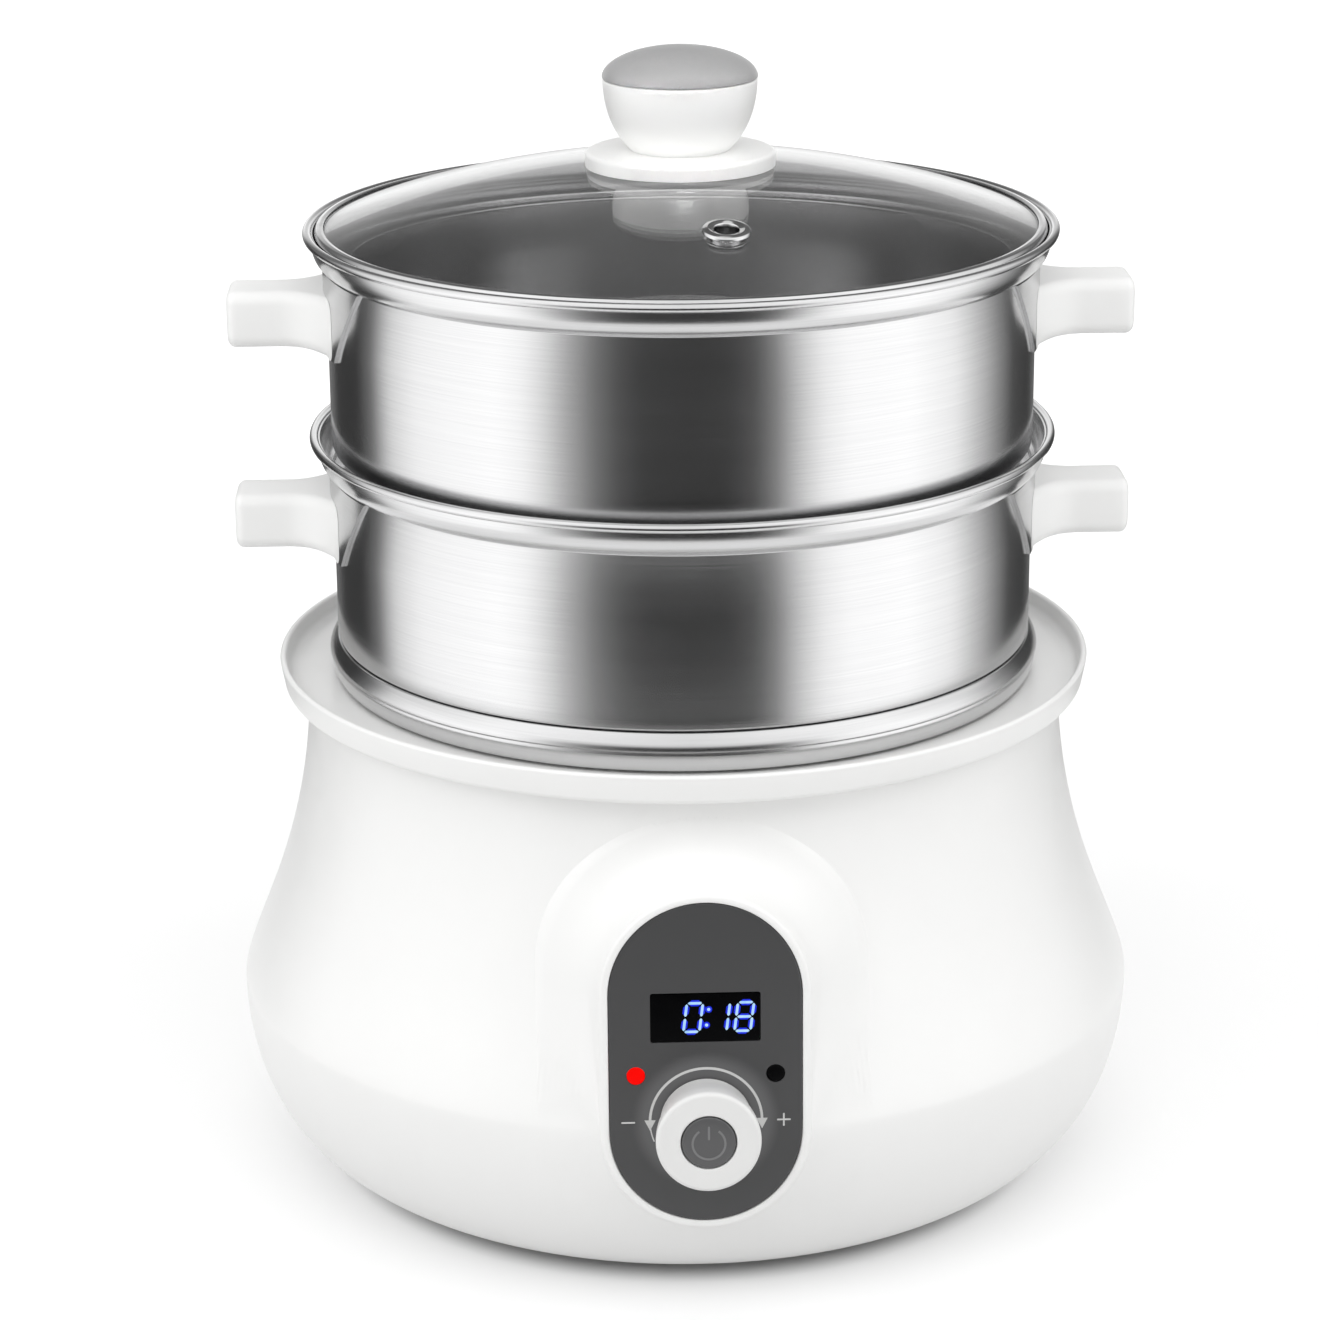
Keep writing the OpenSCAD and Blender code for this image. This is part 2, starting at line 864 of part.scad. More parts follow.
function basket_path() = concat(
    [[0, sheet_t / 2], [foot_ring_r - sheet_t / 2 - 2.6, sheet_t / 2]],
    arc([foot_ring_r - sheet_t / 2 - 2, sheet_t / 2 + 2], 2, 2, -90, -20, 4),
    arc([wall_mid_r - draw_r, draw_h], draw_r, draw_r, -asin((draw_h - 3) / draw_r), 0, 7),
    [[wall_mid_r, collar_z]],
    arc([wall_mid_r, collar_z + collar_h], collar_step, collar_h, -84, 0, 8),
    [[wall_mid_r + collar_step, bead_z]]
);

module basket(z) {
    color("silver")
    translate([0, 0, z])
        difference() {
            union() {
                rotate_extrude()
                    polygon(sheet(basket_path(), sheet_t));
                translate([0, 0, basket_pitch - ledge_t])
                    tube(wall_mid_r, ledge_in_r, ledge_t);
                translate([0, 0, bead_z])
                    rotate_extrude()
                        translate([bead_ring_r, 0])
                            circle(bead_r, $fn = 32);
            }
            translate([0, 0, -1])
                cylinder(r = steam_hole_r, h = sheet_t + 2);
            for (ring = [1:steam_rings])
                ring_of(6 * ring, ring * steam_ring_step)
                    translate([0, 0, -1])
                        cylinder(r = steam_hole_r, h = sheet_t + 2);
            for (turn = [0, 180])
                rotate(turn)
                    screw_hole(basket_r + 2);
        }
}

module lower_basket() {
    basket(basket_low_z);
}

module upper_basket() {
    basket(basket_up_z);
}

// Puts a piece that is drawn on the +X side of a basket on its left or right side
module on_side(z, side) {
    translate([0, 0, z])
        rotate(side > 0 ? 0 : 180)
            children();
}

bracket_in_r = basket_r + 0.02;
root_r = bracket_in_r + bracket_t + run_gap;
handle_end = basket_r + handle_reach;
bracket_top = collar_z - 0.6;

// Hole for a handle screw, from the axis outwards
module screw_hole(l) {
    translate([0, 0, handle_z])
        rotate([0, 90, 0])
            cylinder(r = screw_r + fit_gap, h = l);
}

// Curved plate that lies on the basket's wall behind a handle
module bracket(z, side) {
    color("silver")
    on_side(z, side)
        difference() {
            intersection() {
                translate([0, 0, bracket_top - bracket_h])
                    tube(bracket_in_r + bracket_t, bracket_in_r, bracket_h);
                rotate([90, 0, 90])
                    linear_extrude(basket_r + 20)
                        polygon([
                            [-bracket_tip, bracket_top - bracket_h],
                            [bracket_tip, bracket_top - bracket_h],
                            [bracket_half, bracket_top],
                            [-bracket_half, bracket_top]
                        ]);
            }
            screw_hole(handle_end);
        }
}

module lower_bracket_left() {
    bracket(basket_low_z, -1);
}

module lower_bracket_right() {
    bracket(basket_low_z, 1);
}

module upper_bracket_left() {
    bracket(basket_up_z, -1);
}

module upper_bracket_right() {
    bracket(basket_up_z, 1);
}

// Grip seen from above: flared root that runs in past the bracket, straight grip, rounded end
function handle_plan() =
    let (
        root_x = sqrt(root_r * root_r - root_w * root_w / 4),
        half = concat(
            bezier([
                [root_x - 1.5, root_w / 2 + 1],
                [root_x + 3, handle_w / 2 + 9],
                [root_x + 8, handle_w / 2],
                [root_x + 19, handle_w / 2]
            ], 8),
            arc([handle_end - handle_corner, handle_w / 2 - handle_corner],
                handle_corner, handle_corner, 90, 0, 6)
        )
    )
    concat(half, backwards([for (p = half) [p[0], -p[1]]]));

// Grip seen from the front: the root drops below the grip
function handle_side() =
    let (
        root_x = basket_r - 6,
        low = handle_z - handle_t / 2,
        high = handle_z + handle_t / 2
    )
    concat(
        bezier([
            [root_x, low - root_drop],
            [root_x + 8, low - root_drop],
            [root_x + 10, low],
            [root_x + 20, low]
        ], 6),
        arc([handle_end - 2, low + 2], 2, 2, -90, 0, 4),
        arc([handle_end - 2, high - 2], 2, 2, 0, 90, 4),
        [[root_x, high]]
    );

module handle(z, side) {
    color("white")
    on_side(z, side)
        difference() {
            intersection() {
                linear_extrude(basket_pitch)
                    polygon(handle_plan());
                translate([0, root_w / 2 + 2, 0])
                    rotate([90, 0, 0])
                        linear_extrude(root_w + 4)
                            polygon(handle_side());
            }
            translate([0, 0, -1])
                cylinder(r = root_r, h = basket_pitch + 2);
            screw_hole(basket_r + screw_l);
        }
}

module lower_handle_left() {
    handle(basket_low_z, -1);
}

module lower_handle_right() {
    handle(basket_low_z, 1);
}

module upper_handle_left() {
    handle(basket_up_z, -1);
}

module upper_handle_right() {
    handle(basket_up_z, 1);
}

module handle_screws(z) {
    head_l = 2;
    color("silver")
    for (side = [-1, 1])
        on_side(z, side)
            translate([basket_r - sheet_t - 0.1, 0, handle_z])
                rotate([0, 90, 0]) {
                    translate([0, 0, -head_l])
                        cylinder(r = 1.7 * screw_r, h = head_l);
                    translate([0, 0, -1])
                        cylinder(r = screw_r, h = screw_l);
                }
}

module lower_handle_screws() {
    handle_screws(basket_low_z);
}

module upper_handle_screws() {
    handle_screws(basket_up_z);
}

// Places children on the glass at the vent, square to its upper face
module at_vent() {
    slope = asin(vent_reach / dome_r);
    rotate(vent_turn)
        translate([0, -vent_reach, dome_z(vent_reach)])
            rotate([slope, 0, 0])
                children();
}

module lid_glass() {
    steps = 16;
    top = [for (i = [0:steps]) let (r = lid_hole_r + (glass_r - lid_hole_r) * i / steps) [r, dome_z(r)]];
    color("lightblue", 0.4)
    difference() {
        rotate_extrude()
            polygon(concat(top, backwards([for (p = top) p - [0, glass_t]])));
        at_vent()
            translate([0, 0, -2 * glass_t])
                cylinder(r = vent_r + 1.2, h = 4 * glass_t);
    }
}

module lid_rim() {
    lip_in_r = glass_r - lip_w;
    top = dome_z(lip_in_r) + fit_gap + lid_rim_t;
    under = dome_z(glass_r) - glass_t - fit_gap;
    skirt = basket_up_z + bead_z - lid_skirt_drop;
    band_in_r = glass_r + fit_gap;
    color("silver")
    rotate_extrude()
        polygon([
            [lip_in_r, top], [lip_in_r, top - lid_rim_t], [band_in_r, top - lid_rim_t],
            [band_in_r, under], [lip_in_r, under], [lip_in_r, under - lid_rim_t],
            [lid_r - 1 - lid_rim_t, skirt], [lid_r - 1, skirt], [lid_r, skirt + lid_skirt_bend],
            [lid_r, top - lid_rim_t], [lid_r - lid_rim_t, top]
        ]);
}

module vent_eyelet() {
    tube_r = vent_r + 1;
    color("silver")
    at_vent()
        rotate_extrude()
            polygon(concat(
                [[vent_r, -glass_t - 1.8], [2 * vent_r - 1, -glass_t - 1.8]],
                [[2 * vent_r - 1, -glass_t - 0.6], [tube_r, -glass_t - 0.6], [tube_r, 0.35]],
                [[2 * vent_r, 0.35]],
                arc([vent_r + 1.5, 0.35], vent_r - 1.5, 1.4, 0, 90, 5),
                [[vent_r + 0.6, 1.4], [vent_r, 0.9]]
            ));
}

module knob_disc() {
    steps = 8;
    gasket_r = knob_foot_r - 4;
    under = [for (i = [0:steps]) let (r = gasket_r + (disc_r - gasket_r) * i / steps) [r, dome_z(r) + 0.1]];
    color("white")
    rotate_extrude()
        polygon(concat(
            [[lid_hole_r, crown_z + 1.1], [gasket_r, crown_z + 1.1]],
            under,
            arc([disc_r - 1.5, disc_top_z - 2], 1.5, 1.5, 0, 90, 5),
            [[knob_foot_r, disc_top_z], [lid_hole_r, disc_top_z]]
        ));
}

module knob_gasket() {
    color("dimgray")
    translate([0, 0, crown_z + 0.05])
        tube(knob_foot_r - 4.5, lid_hole_r, 1);
}

module knob_body() {
    wall = 2.4;
    boss_r = 6.5;
    outer = bezier([
        [knob_foot_r, disc_top_z + 0.1],
        [knob_foot_r + 5.5, disc_top_z + 5],
        [knob_top_r - 0.2, disc_top_z + 13],
        [knob_top_r, knob_cap_z]
    ], 12);
    color("white")
    union() {
        rotate_extrude()
            polygon(concat(
                [[lid_screw_r + run_gap, disc_top_z + 0.1]],
                outer,
                [[knob_top_r - wall, knob_cap_z], [knob_top_r - wall - 1.5, disc_top_z + 12]],
                [[knob_foot_r - 2, disc_top_z + 4], [lid_screw_r + run_gap, disc_top_z + 4]]
            ));
        translate([0, 0, disc_top_z + 3])
            tube(boss_r, lid_screw_r + run_gap, 11);
    }
}

module knob_cap() {
    spigot = 3;
    spigot_r = knob_top_r - 2.4 - 0.5;
    color("darkgray")
    rotate_extrude()
        polygon(concat(
            [[0, knob_cap_z + 1.6], [spigot_r - 2, knob_cap_z + 1.6], [spigot_r - 2, knob_cap_z - spigot]],
            [[spigot_r, knob_cap_z - spigot], [spigot_r, knob_cap_z + 0.05]],
            arc([0, knob_cap_z + 0.05], knob_top_r + 0.2, cap_h, 0, 90, 14)
        ));
}

module knob_screw() {
    head_h = 3;
    head_z = washer_z - run_gap - head_h;
    color("silver")
    union() {
        translate([0, 0, head_z])
            cylinder(r = 2 * lid_screw_r, h = head_h);
        translate([0, 0, head_z + 1])
            cylinder(r = lid_screw_r, h = disc_top_z + 12 - head_z);
    }
}

module knob_washer() {
    color("dimgray")
    translate([0, 0, washer_z])
        tube(washer_r, lid_screw_r + run_gap, washer_t);
}

outer_shell();
rim_tray();
liner();
base_plate();
feet();
base_screws();
heating_plate();
heating_element();
sensor_cap();
sensor_spring();
sensor_holder();
power_inlet();
inlet_pins();
power_board_pcb();
relay();
transformer();
fascia();
display_window();
display_module();
red_lamp();
dark_lamp();
control_board();
encoder_body();
encoder_shaft();
tact_switch();
switch_plunger();
dial_knob();
power_button();
inner_pot();
lower_basket();
lower_bracket_left();
lower_bracket_right();
lower_handle_left();
lower_handle_right();
lower_handle_screws();
upper_basket();
upper_bracket_left();
upper_bracket_right();
upper_handle_left();
upper_handle_right();
upper_handle_screws();
lid_glass();
lid_rim();
vent_eyelet();
knob_disc();
knob_gasket();
knob_body();
knob_cap();
knob_screw();
knob_washer();
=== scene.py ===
from math import asin, cos, pi, radians, sin, sqrt, tan

import bmesh
import bpy
import numpy as np
from mathutils import Matrix, Vector


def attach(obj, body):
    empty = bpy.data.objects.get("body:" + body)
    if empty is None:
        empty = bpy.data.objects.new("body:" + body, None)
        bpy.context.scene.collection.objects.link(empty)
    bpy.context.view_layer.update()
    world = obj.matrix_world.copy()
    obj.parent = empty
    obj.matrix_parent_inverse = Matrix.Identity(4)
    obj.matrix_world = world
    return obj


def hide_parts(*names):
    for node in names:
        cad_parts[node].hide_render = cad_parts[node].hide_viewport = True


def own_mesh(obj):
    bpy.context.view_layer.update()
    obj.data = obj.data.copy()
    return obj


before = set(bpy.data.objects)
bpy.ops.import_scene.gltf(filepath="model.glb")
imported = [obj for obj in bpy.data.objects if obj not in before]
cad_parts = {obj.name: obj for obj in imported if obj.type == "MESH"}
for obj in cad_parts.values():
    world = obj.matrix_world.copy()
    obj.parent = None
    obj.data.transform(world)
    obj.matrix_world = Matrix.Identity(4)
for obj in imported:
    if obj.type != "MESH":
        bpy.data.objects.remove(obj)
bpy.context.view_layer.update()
scene = bpy.context.scene
mm = 0.001
print("frame in place:", len(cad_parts), "solids")


def hexLinear(code):
    parts = [int(code[i:i + 2], 16) / 255 for i in (1, 3, 5)]
    return tuple(c / 12.92 if c <= 0.04045 else ((c + 0.055) / 1.055) ** 2.4 for c in parts) + (1.0,)


def addNode(tree, kind, settings=None, inputs=None):
    node = tree.nodes.new("ShaderNode" + kind)
    for key, value in (settings or {}).items():
        setattr(node, key, value)
    for key, value in (inputs or {}).items():
        if isinstance(value, bpy.types.NodeSocket):
            tree.links.new(value, node.inputs[key])
        else:
            node.inputs[key].default_value = value
    return node


def perMm(size):
    return 1.0 / (size * mm)  # texture scale for a feature of that many millimetres


def noiseAt(tree, place, size, detail, more=None):
    inputs = {"Vector": place, "Scale": perMm(size), "Detail": detail}
    return addNode(tree, "TexNoise", inputs={**inputs, **(more or {})}).outputs[0]


def mixTones(tree, share, first, second):
    # tones are hex codes or the outputs of other nodes
    first, second = (hexLinear(tone) if isinstance(tone, str) else tone for tone in (first, second))
    return addNode(tree, "Mix", {"data_type": "RGBA"}, {0: share, 6: first, 7: second}).outputs[2]


def mapRange(tree, value, start, end, low=0.0, high=1.0, kind="LINEAR"):
    limits = {"Value": value, "From Min": start, "From Max": end, "To Min": low, "To Max": high}
    return addNode(tree, "MapRange", {"interpolation_type": kind}, limits).outputs[0]


def mathOf(tree, operation, *values):
    return addNode(tree, "Math", {"operation": operation}, dict(enumerate(values))).outputs[0]


def vectorValue(tree, operation, *values):
    return addNode(tree, "VectorMath", {"operation": operation}, dict(enumerate(values))).outputs["Value"]


def bumpOf(tree, height, strength, distance=0.05):
    inputs = {"Height": height, "Strength": strength, "Distance": distance * mm}
    return addNode(tree, "Bump", inputs=inputs).outputs[0]


def anyRay(tree, *kinds):
    # one for a ray of any of the named kinds, zero for others
    path = addNode(tree, "LightPath").outputs
    share = path[kinds[0]]
    for kind in kinds[1:]:
        share = mathOf(tree, "MAXIMUM", share, path[kind])
    return share


def startSurface(name):
    surface = bpy.data.materials.new(name)
    surface.use_nodes = True
    tree = surface.node_tree
    tree.nodes.clear()
    return surface, tree, addNode(tree, "TexCoord").outputs["Object"]


def closeSurface(surface, sockets, kind="BsdfPrincipled"):
    shader = addNode(surface.node_tree, kind, inputs=sockets)
    addNode(surface.node_tree, "OutputMaterial", inputs={"Surface": shader.outputs[0]})
    return surface


# lines and loops are lists of points in millimetres
def arc(centre, r, start, end, count, ry=None):
    turns = [radians(start + (end - start) * i / count) for i in range(count + 1)]
    return [(centre[0] + r * cos(a), centre[1] + (ry or r) * sin(a)) for a in turns]


def arcBand(centre, r, w, start, end, count):
    return arc(centre, r - w / 2, start, end, count) + arc(centre, r + w / 2, end, start, count)


def circle(x, y, r, count):
    turns = [2 * pi * k / count for k in range(count)]
    return [(x + r * cos(a), y + r * sin(a)) for a in turns]


def roundedRect(cx, cy, w, h, corner, steps=5):
    loop = []
    for sx, sy, start in ((1, 1, 0), (-1, 1, 90), (-1, -1, 180), (1, -1, 270)):
        centre = (cx + sx * (w / 2 - corner), cy + sy * (h / 2 - corner))
        loop += arc(centre, corner, start, start + 90, steps)
    return loop


def bezier(a, b, c, d, count):
    points = []
    for i in range(count + 1):
        t = i / count
        s = 1 - t
        wa, wb, wc, wd = s ** 3, 3 * s * s * t, 3 * s * t * t, t ** 3
        points.append(tuple(wa * a[k] + wb * b[k] + wc * c[k] + wd * d[k] for k in range(2)))
    return points


def rounded(corners, closed=True, steps=6):
    # corners are (r, z, fillet radius); each fillet becomes a short arc
    count = len(corners)
    points = []
    for i, (r, z, fillet) in enumerate(corners):
        here = Vector((r, z))
        if fillet <= 0 or (not closed and i in (0, count - 1)):
            points.append((r, z))
            continue
        toBefore = Vector(corners[i - 1][:2]) - here
        toAfter = Vector(corners[(i + 1) % count][:2]) - here
        half = toBefore.angle(toAfter) / 2
        cut = min(fillet / tan(half), toBefore.length * 0.48, toAfter.length * 0.48)
        radius = cut * tan(half)
        middle = here + (toBefore.normalized() + toAfter.normalized()).normalized() * (radius / sin(half))
        first = here + toBefore.normalized() * cut - middle
        turn = first.angle_signed(here + toAfter.normalized() * cut - middle)
        for k in range(steps + 1):
            spun = Matrix.Rotation(-turn * k / steps, 2) @ first
            points.append((middle.x + spun.x, middle.y + spun.y))
    return points


def sheetLoop(path, thickness):
    # closed outline of bent sheet around its middle line
    points = [Vector(p) for p in path]
    left, right = [], []
    for i, here in enumerate(points):
        before = (here - points[i - 1]).normalized() if i else (points[1] - here).normalized()
        after = (points[i + 1] - here).normalized() if i < len(points) - 1 else before
        along = (before + after).normalized()
        side = Vector((-along.y, along.x)) * (thickness / 2) / max(along.dot(before), 0.5)
        left.append(tuple(here + side))
        right.append(tuple(here - side))
    return left + right[::-1]


def raised(line, z):
    return [(r, h + z) for r, h in line]


# parts are (points in metres, faces)
def polar(r, turn, z):
    return r * cos(turn) * mm, r * sin(turn) * mm, z * mm


def ringFaces(rows, count):
    # quads between neighbouring rings of equal length
    faces = []
    for i in range(rows - 1):
        for k in range(count):
            n = (k + 1) % count
            faces.append([i * count + k, i * count + n, (i + 1) * count + n, (i + 1) * count + k])
    return faces


def loopBands(loops):
    # a band of quads through loops of equal length, each given with its height
    verts = [(x * mm, y * mm, z * mm) for loop, z in loops for x, y in loop]
    return verts, ringFaces(len(loops), len(loops[0][0]))


def revolve(profile, steps=240, closed=True):
    verts, rows, faces = [], [], []
    turns = [2 * pi * (k + 0.5) / steps for k in range(steps)]
    for r, z in profile:
        start = len(verts)
        if r < 1e-6:  # on the axis one point serves all sides
            rows.append([start] * steps)
            verts.append((0.0, 0.0, z * mm))
        else:
            rows.append(list(range(start, start + steps)))
            verts += [polar(r, a, z) for a in turns]
    for i in range(len(profile) if closed else len(profile) - 1):
        low, high = rows[i], rows[(i + 1) % len(profile)]
        for k in range(steps):
            n = (k + 1) % steps
            corners = [low[k], low[n], high[n], high[k]]
            corners = [v for j, v in enumerate(corners) if v not in corners[:j]]
            if len(corners) > 2:
                faces.append(corners)
    return verts, faces


def flatFill(outline, holes, height, depth):
    # flat plate with holes: front face at height, walls down by depth
    work = bmesh.new()
    edges = []
    for loop in [outline] + list(holes):
        ring = [work.verts.new((x * mm, y * mm, height * mm)) for x, y in loop]
        edges += [work.edges.new((ring[i], ring[(i + 1) % len(ring)])) for i in range(len(ring))]
    bmesh.ops.triangle_fill(work, use_beauty=True, use_dissolve=False, edges=edges, normal=(0, 0, 1))
    sides = bmesh.ops.extrude_face_region(work, geom=list(work.faces))
    moved = [g for g in sides["geom"] if isinstance(g, bmesh.types.BMVert)]
    bmesh.ops.translate(work, verts=moved, vec=(0, 0, -depth * mm))
    work.verts.index_update()
    part = ([tuple(v.co) for v in work.verts], [[v.index for v in f.verts] for f in work.faces])
    work.free()
    return part


def joinParts(*parts):
    verts, faces = [], []
    for v, f in parts:
        start = len(verts)
        verts += v
        faces += [[i + start for i in face] for face in f]
    return verts, faces


def flatFills(loops, height, depth):
    return joinParts(*[flatFill(loop, [], height, depth) for loop in loops])


def placed(part, matrix):
    verts, faces = part
    return [tuple(matrix @ Vector(v)) for v in verts], faces


def meshOf(name, part):
    mesh = bpy.data.meshes.new(name)
    mesh.from_pydata(part[0], [], part[1])
    return mesh


def addObject(name, data):
    made = bpy.data.objects.new(name, data)
    scene.collection.objects.link(made)
    return made


def makePiece(name, part, surface, body, stands=(), sharp=32):
    mesh = meshOf(name, part)
    work = bmesh.new()
    work.from_mesh(mesh)
    bmesh.ops.recalc_face_normals(work, faces=work.faces)
    work.to_mesh(mesh)
    work.free()
    mesh.shade_smooth()
    mesh.set_sharp_from_angle(angle=radians(sharp))
    piece = addObject(name, mesh)
    mesh.materials.append(surface)
    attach(piece, body)
    if stands:
        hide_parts(*stands)
    return piece


# moulded ABS: a little unevenness in tone, a fine orange peel and a soft sheen
def mouldedAbs(name, tone, shade, roughness, peel=0.9, specular=0.5):
    surface, tree, place = startSurface(name)
    cloud, flow, skin = noiseAt(tree, place, 26, 3.0), noiseAt(tree, place, 7, 2.0), noiseAt(tree, place, peel, 2.0)
    return closeSurface(surface, {
        "IOR": 1.53, "Specular IOR Level": specular, "Base Color": mixTones(tree, cloud, tone, shade),
        "Roughness": mapRange(tree, flow, 0.3, 0.7, roughness - 0.04, roughness + 0.05),
        "Normal": bumpOf(tree, skin, 0.05)})


# stainless sheet brushed round the pot: long fine scratches that pull highlights into upright bands
def brushedStainless(name, tone, shade, roughness, spread, scratch=0.45, run=70.0, depth=0.035):
    surface, tree, place = startSurface(name)
    wallR = 120.0  # at this radius a scratch is run millimetres long
    axes = addNode(tree, "SeparateXYZ", inputs={0: place}).outputs
    turn = mathOf(tree, "ARCTAN2", axes[1], axes[0])
    reach = vectorValue(tree, "LENGTH", addNode(tree, "CombineXYZ", inputs={0: axes[0], 1: axes[1]}).outputs[0])
    # real scratches are about 0.05 mm wide; drawn ten times as coarse so that they show
    grainAt = addNode(tree, "CombineXYZ", inputs={
        0: mathOf(tree, "MULTIPLY", turn, wallR / run), 1: mathOf(tree, "MULTIPLY", axes[2], perMm(scratch)),
        2: mathOf(tree, "MULTIPLY", reach, perMm(scratch))}).outputs[0]
    grain = addNode(tree, "TexNoise", inputs={
        "Vector": grainAt, "Scale": 1.0, "Detail": 3.0, "Roughness": 0.65}).outputs[0]
    worn = mathOf(tree, "MULTIPLY_ADD", noiseAt(tree, place, 34, 2.0), 0.35, grain)
    return closeSurface(surface, {
        "Metallic": 1.0, "Anisotropic": spread, "Anisotropic Rotation": 0.25,
        "Base Color": mixTones(tree, grain, tone, shade),
        "Roughness": mapRange(tree, worn, 0.35, 1.05, roughness - 0.03, roughness + 0.04),
        "Normal": bumpOf(tree, grain, depth),
        "Tangent": addNode(tree, "Tangent", {"direction_type": "RADIAL", "axis": "Z"}).outputs[0]})


# plated, polished or cast metal without a brushing direction: faint haze and small pits
def plainMetal(name, tone, shade, roughness, pit=1.2, depth=0.04):
    surface, tree, place = startSurface(name)
    haze, pits = noiseAt(tree, place, 9, 3.0), noiseAt(tree, place, pit, 4.0)
    return closeSurface(surface, {
        "Metallic": 1.0, "Base Color": mixTones(tree, haze, tone, shade),
        "Roughness": mapRange(tree, haze, 0.3, 0.7, max(roughness - 0.04, 0.02), roughness + 0.06),
        "Normal": bumpOf(tree, pits, depth)})


# tempered soda-lime glass: clear, with painted grey shade where it is looked along, standing in for the darker outline
# of the dome seen edge-on, and faint wipe marks in the gloss
def temperedGlass(name):
    surface, tree, place = startSurface(name)
    wipe = noiseAt(tree, place, 40, 4.0, {"Distortion": 1.2})
    slant = addNode(tree, "LayerWeight", inputs={"Blend": 0.5}).outputs["Facing"]
    # painted shade: the glass colour turns grey where the dome is seen edge-on
    edge = mapRange(tree, slant, 0.66, 0.98, kind="SMOOTHSTEP")
    glass = addNode(tree, "BsdfPrincipled", inputs={
        "Transmission Weight": 1.0, "IOR": 1.5, "Roughness": mapRange(tree, wipe, 0.45, 0.8, 0.0, 0.035),
        "Base Color": mixTones(tree, edge, "#fbfbfb", "#b6b8b8")})
    clear = addNode(tree, "BsdfTransparent", inputs={"Color": hexLinear("#f0f0f0")})
    through = anyRay(tree, "Is Shadow Ray", "Is Diffuse Ray")
    return closeSurface(surface, {0: through, 1: glass.outputs[0], 2: clear.outputs[0]}, "MixShader")


# lamps and digits glow through coloured resin
def glowingResin(name, body, tone, glow):
    surface, tree, place = startSurface(name)
    cloud = noiseAt(tree, place, 2.2, 2.0)
    return closeSurface(surface, {
        "Base Color": hexLinear(body), "Roughness": 0.5, "Specular IOR Level": 0.03,
        "Emission Strength": 1.0, "Emission Color": mixTones(tree, cloud, glow, tone)})


# rubber and silicone: dull, slightly mottled, softly grained
def castRubber(name, tone, shade, roughness):
    surface, tree, place = startSurface(name)
    mottle, grain = noiseAt(tree, place, 3, 4.0), noiseAt(tree, place, 0.5, 2.0)
    return closeSurface(surface, {
        "IOR": 1.5, "Specular IOR Level": 0.35, "Base Color": mixTones(tree, mottle, tone, shade),
        "Roughness": mapRange(tree, mottle, 0.0, 1.0, roughness - 0.08, roughness + 0.08),
        "Normal": bumpOf(tree, grain, 0.2)})


# solder-masked glass-epoxy board: green lacquer over a lattice of lighter copper tracks
def circuitBoard(name):
    surface, tree, place = startSurface(name)
    tracks = addNode(tree, "TexBrick", {"offset": 0.5}, {
        "Vector": place, "Scale": perMm(9), "Mortar Size": 0.06, "Color1": hexLinear("#0d4023"),
        "Color2": hexLinear("#114a2a"), "Mortar": hexLinear("#2c7a46")})
    return closeSurface(surface, {
        "Roughness": 0.35, "Coat Weight": 0.3, "Base Color": tracks.outputs[0],
        "Normal": bumpOf(tree, noiseAt(tree, place, 5, 2.0), 0.1)})


# aluminium turned on a lathe: even rings round the axis
def turnedAluminium(name, tone, shade, ringMm):
    surface, tree, place = startSurface(name)
    waveFactor = 20  # the wave texture counts its bands by this much finer
    rings = addNode(tree, "TexWave", {"wave_type": "RINGS", "rings_direction": "Z"}, {
        "Vector": place, "Scale": perMm(ringMm) / waveFactor, "Distortion": 0.4, "Detail": 2.0}).outputs[1]
    return closeSurface(surface, {
        "Metallic": 1.0, "Base Color": mixTones(tree, rings, tone, shade),
        "Roughness": mapRange(tree, noiseAt(tree, place, 4, 4.0), 0.0, 1.0, 0.3, 0.5),
        "Normal": bumpOf(tree, rings, 0.15, 0.1)})


knobAbs = mouldedAbs("mouldedAbsKnob", "#ebebea", "#e7e7e6", 0.36)
whiteAbs = mouldedAbs("mouldedAbsWhite", "#f8f8f7", "#f5f5f4", 0.34)
handleAbs = mouldedAbs("mouldedAbsHandle", "#f8f8f7", "#f4f4f3", 0.42)
darkAbs = mouldedAbs("mouldedAbsBlack", "#1c1c1d", "#141415", 0.45, peel=0.6)
buttonAbs = mouldedAbs("mouldedAbsGrey", "#5a5a5b", "#525253", 0.4)
capAbs = mouldedAbs("satinPaintedAbsCap", "#adadad", "#a5a5a6", 0.33)
paleInk = mouldedAbs("screenPrintedInk", "#d4d4d3", "#c6c6c5", 0.5)
displayAcrylic = mouldedAbs("tintedAcrylic", "#020203", "#040405", 0.2, peel=3.0, specular=0.06)
darkLens = mouldedAbs("smokedResin", "#040405", "#070708", 0.5, specular=0.04)
windingTape = mouldedAbs("polyesterTape", "#c9a02c", "#b58c1f", 0.4)
wallSteel = brushedStainless("brushedStainlessSheet", "#d9d9d9", "#c8c8c9", 0.19, 0.65, depth=0.02)
potSteel = brushedStainless("spunStainlessPot", "#d6d6d6", "#c8c8c9", 0.2, 0.55, scratch=0.6)
bracketSteel = brushedStainless("pressedStainlessBracket", "#d3d3d3", "#c4c4c5", 0.24, 0.5, run=30)
rolledSheet = brushedStainless("rolledAluminiumLiner", "#c9c9ca", "#b9b9bb", 0.36, 0.4, scratch=1.0)
brightSteel = plainMetal("polishedStainless", "#d6d6d6", "#cbcbcc", 0.12)
zincSteel = plainMetal("zincPlatedSteel", "#c3c4c8", "#a9abb2", 0.3)
nickelPins = plainMetal("nickelPlatedBrass", "#d0cbbd", "#bdb7a6", 0.22)
sheathSteel = plainMetal("oxidisedSheath", "#5b5957", "#434140", 0.45, pit=0.8, depth=0.12)
heaterCast = turnedAluminium("turnedAluminium", "#b9bbbd", "#a5a7aa", 1.6)
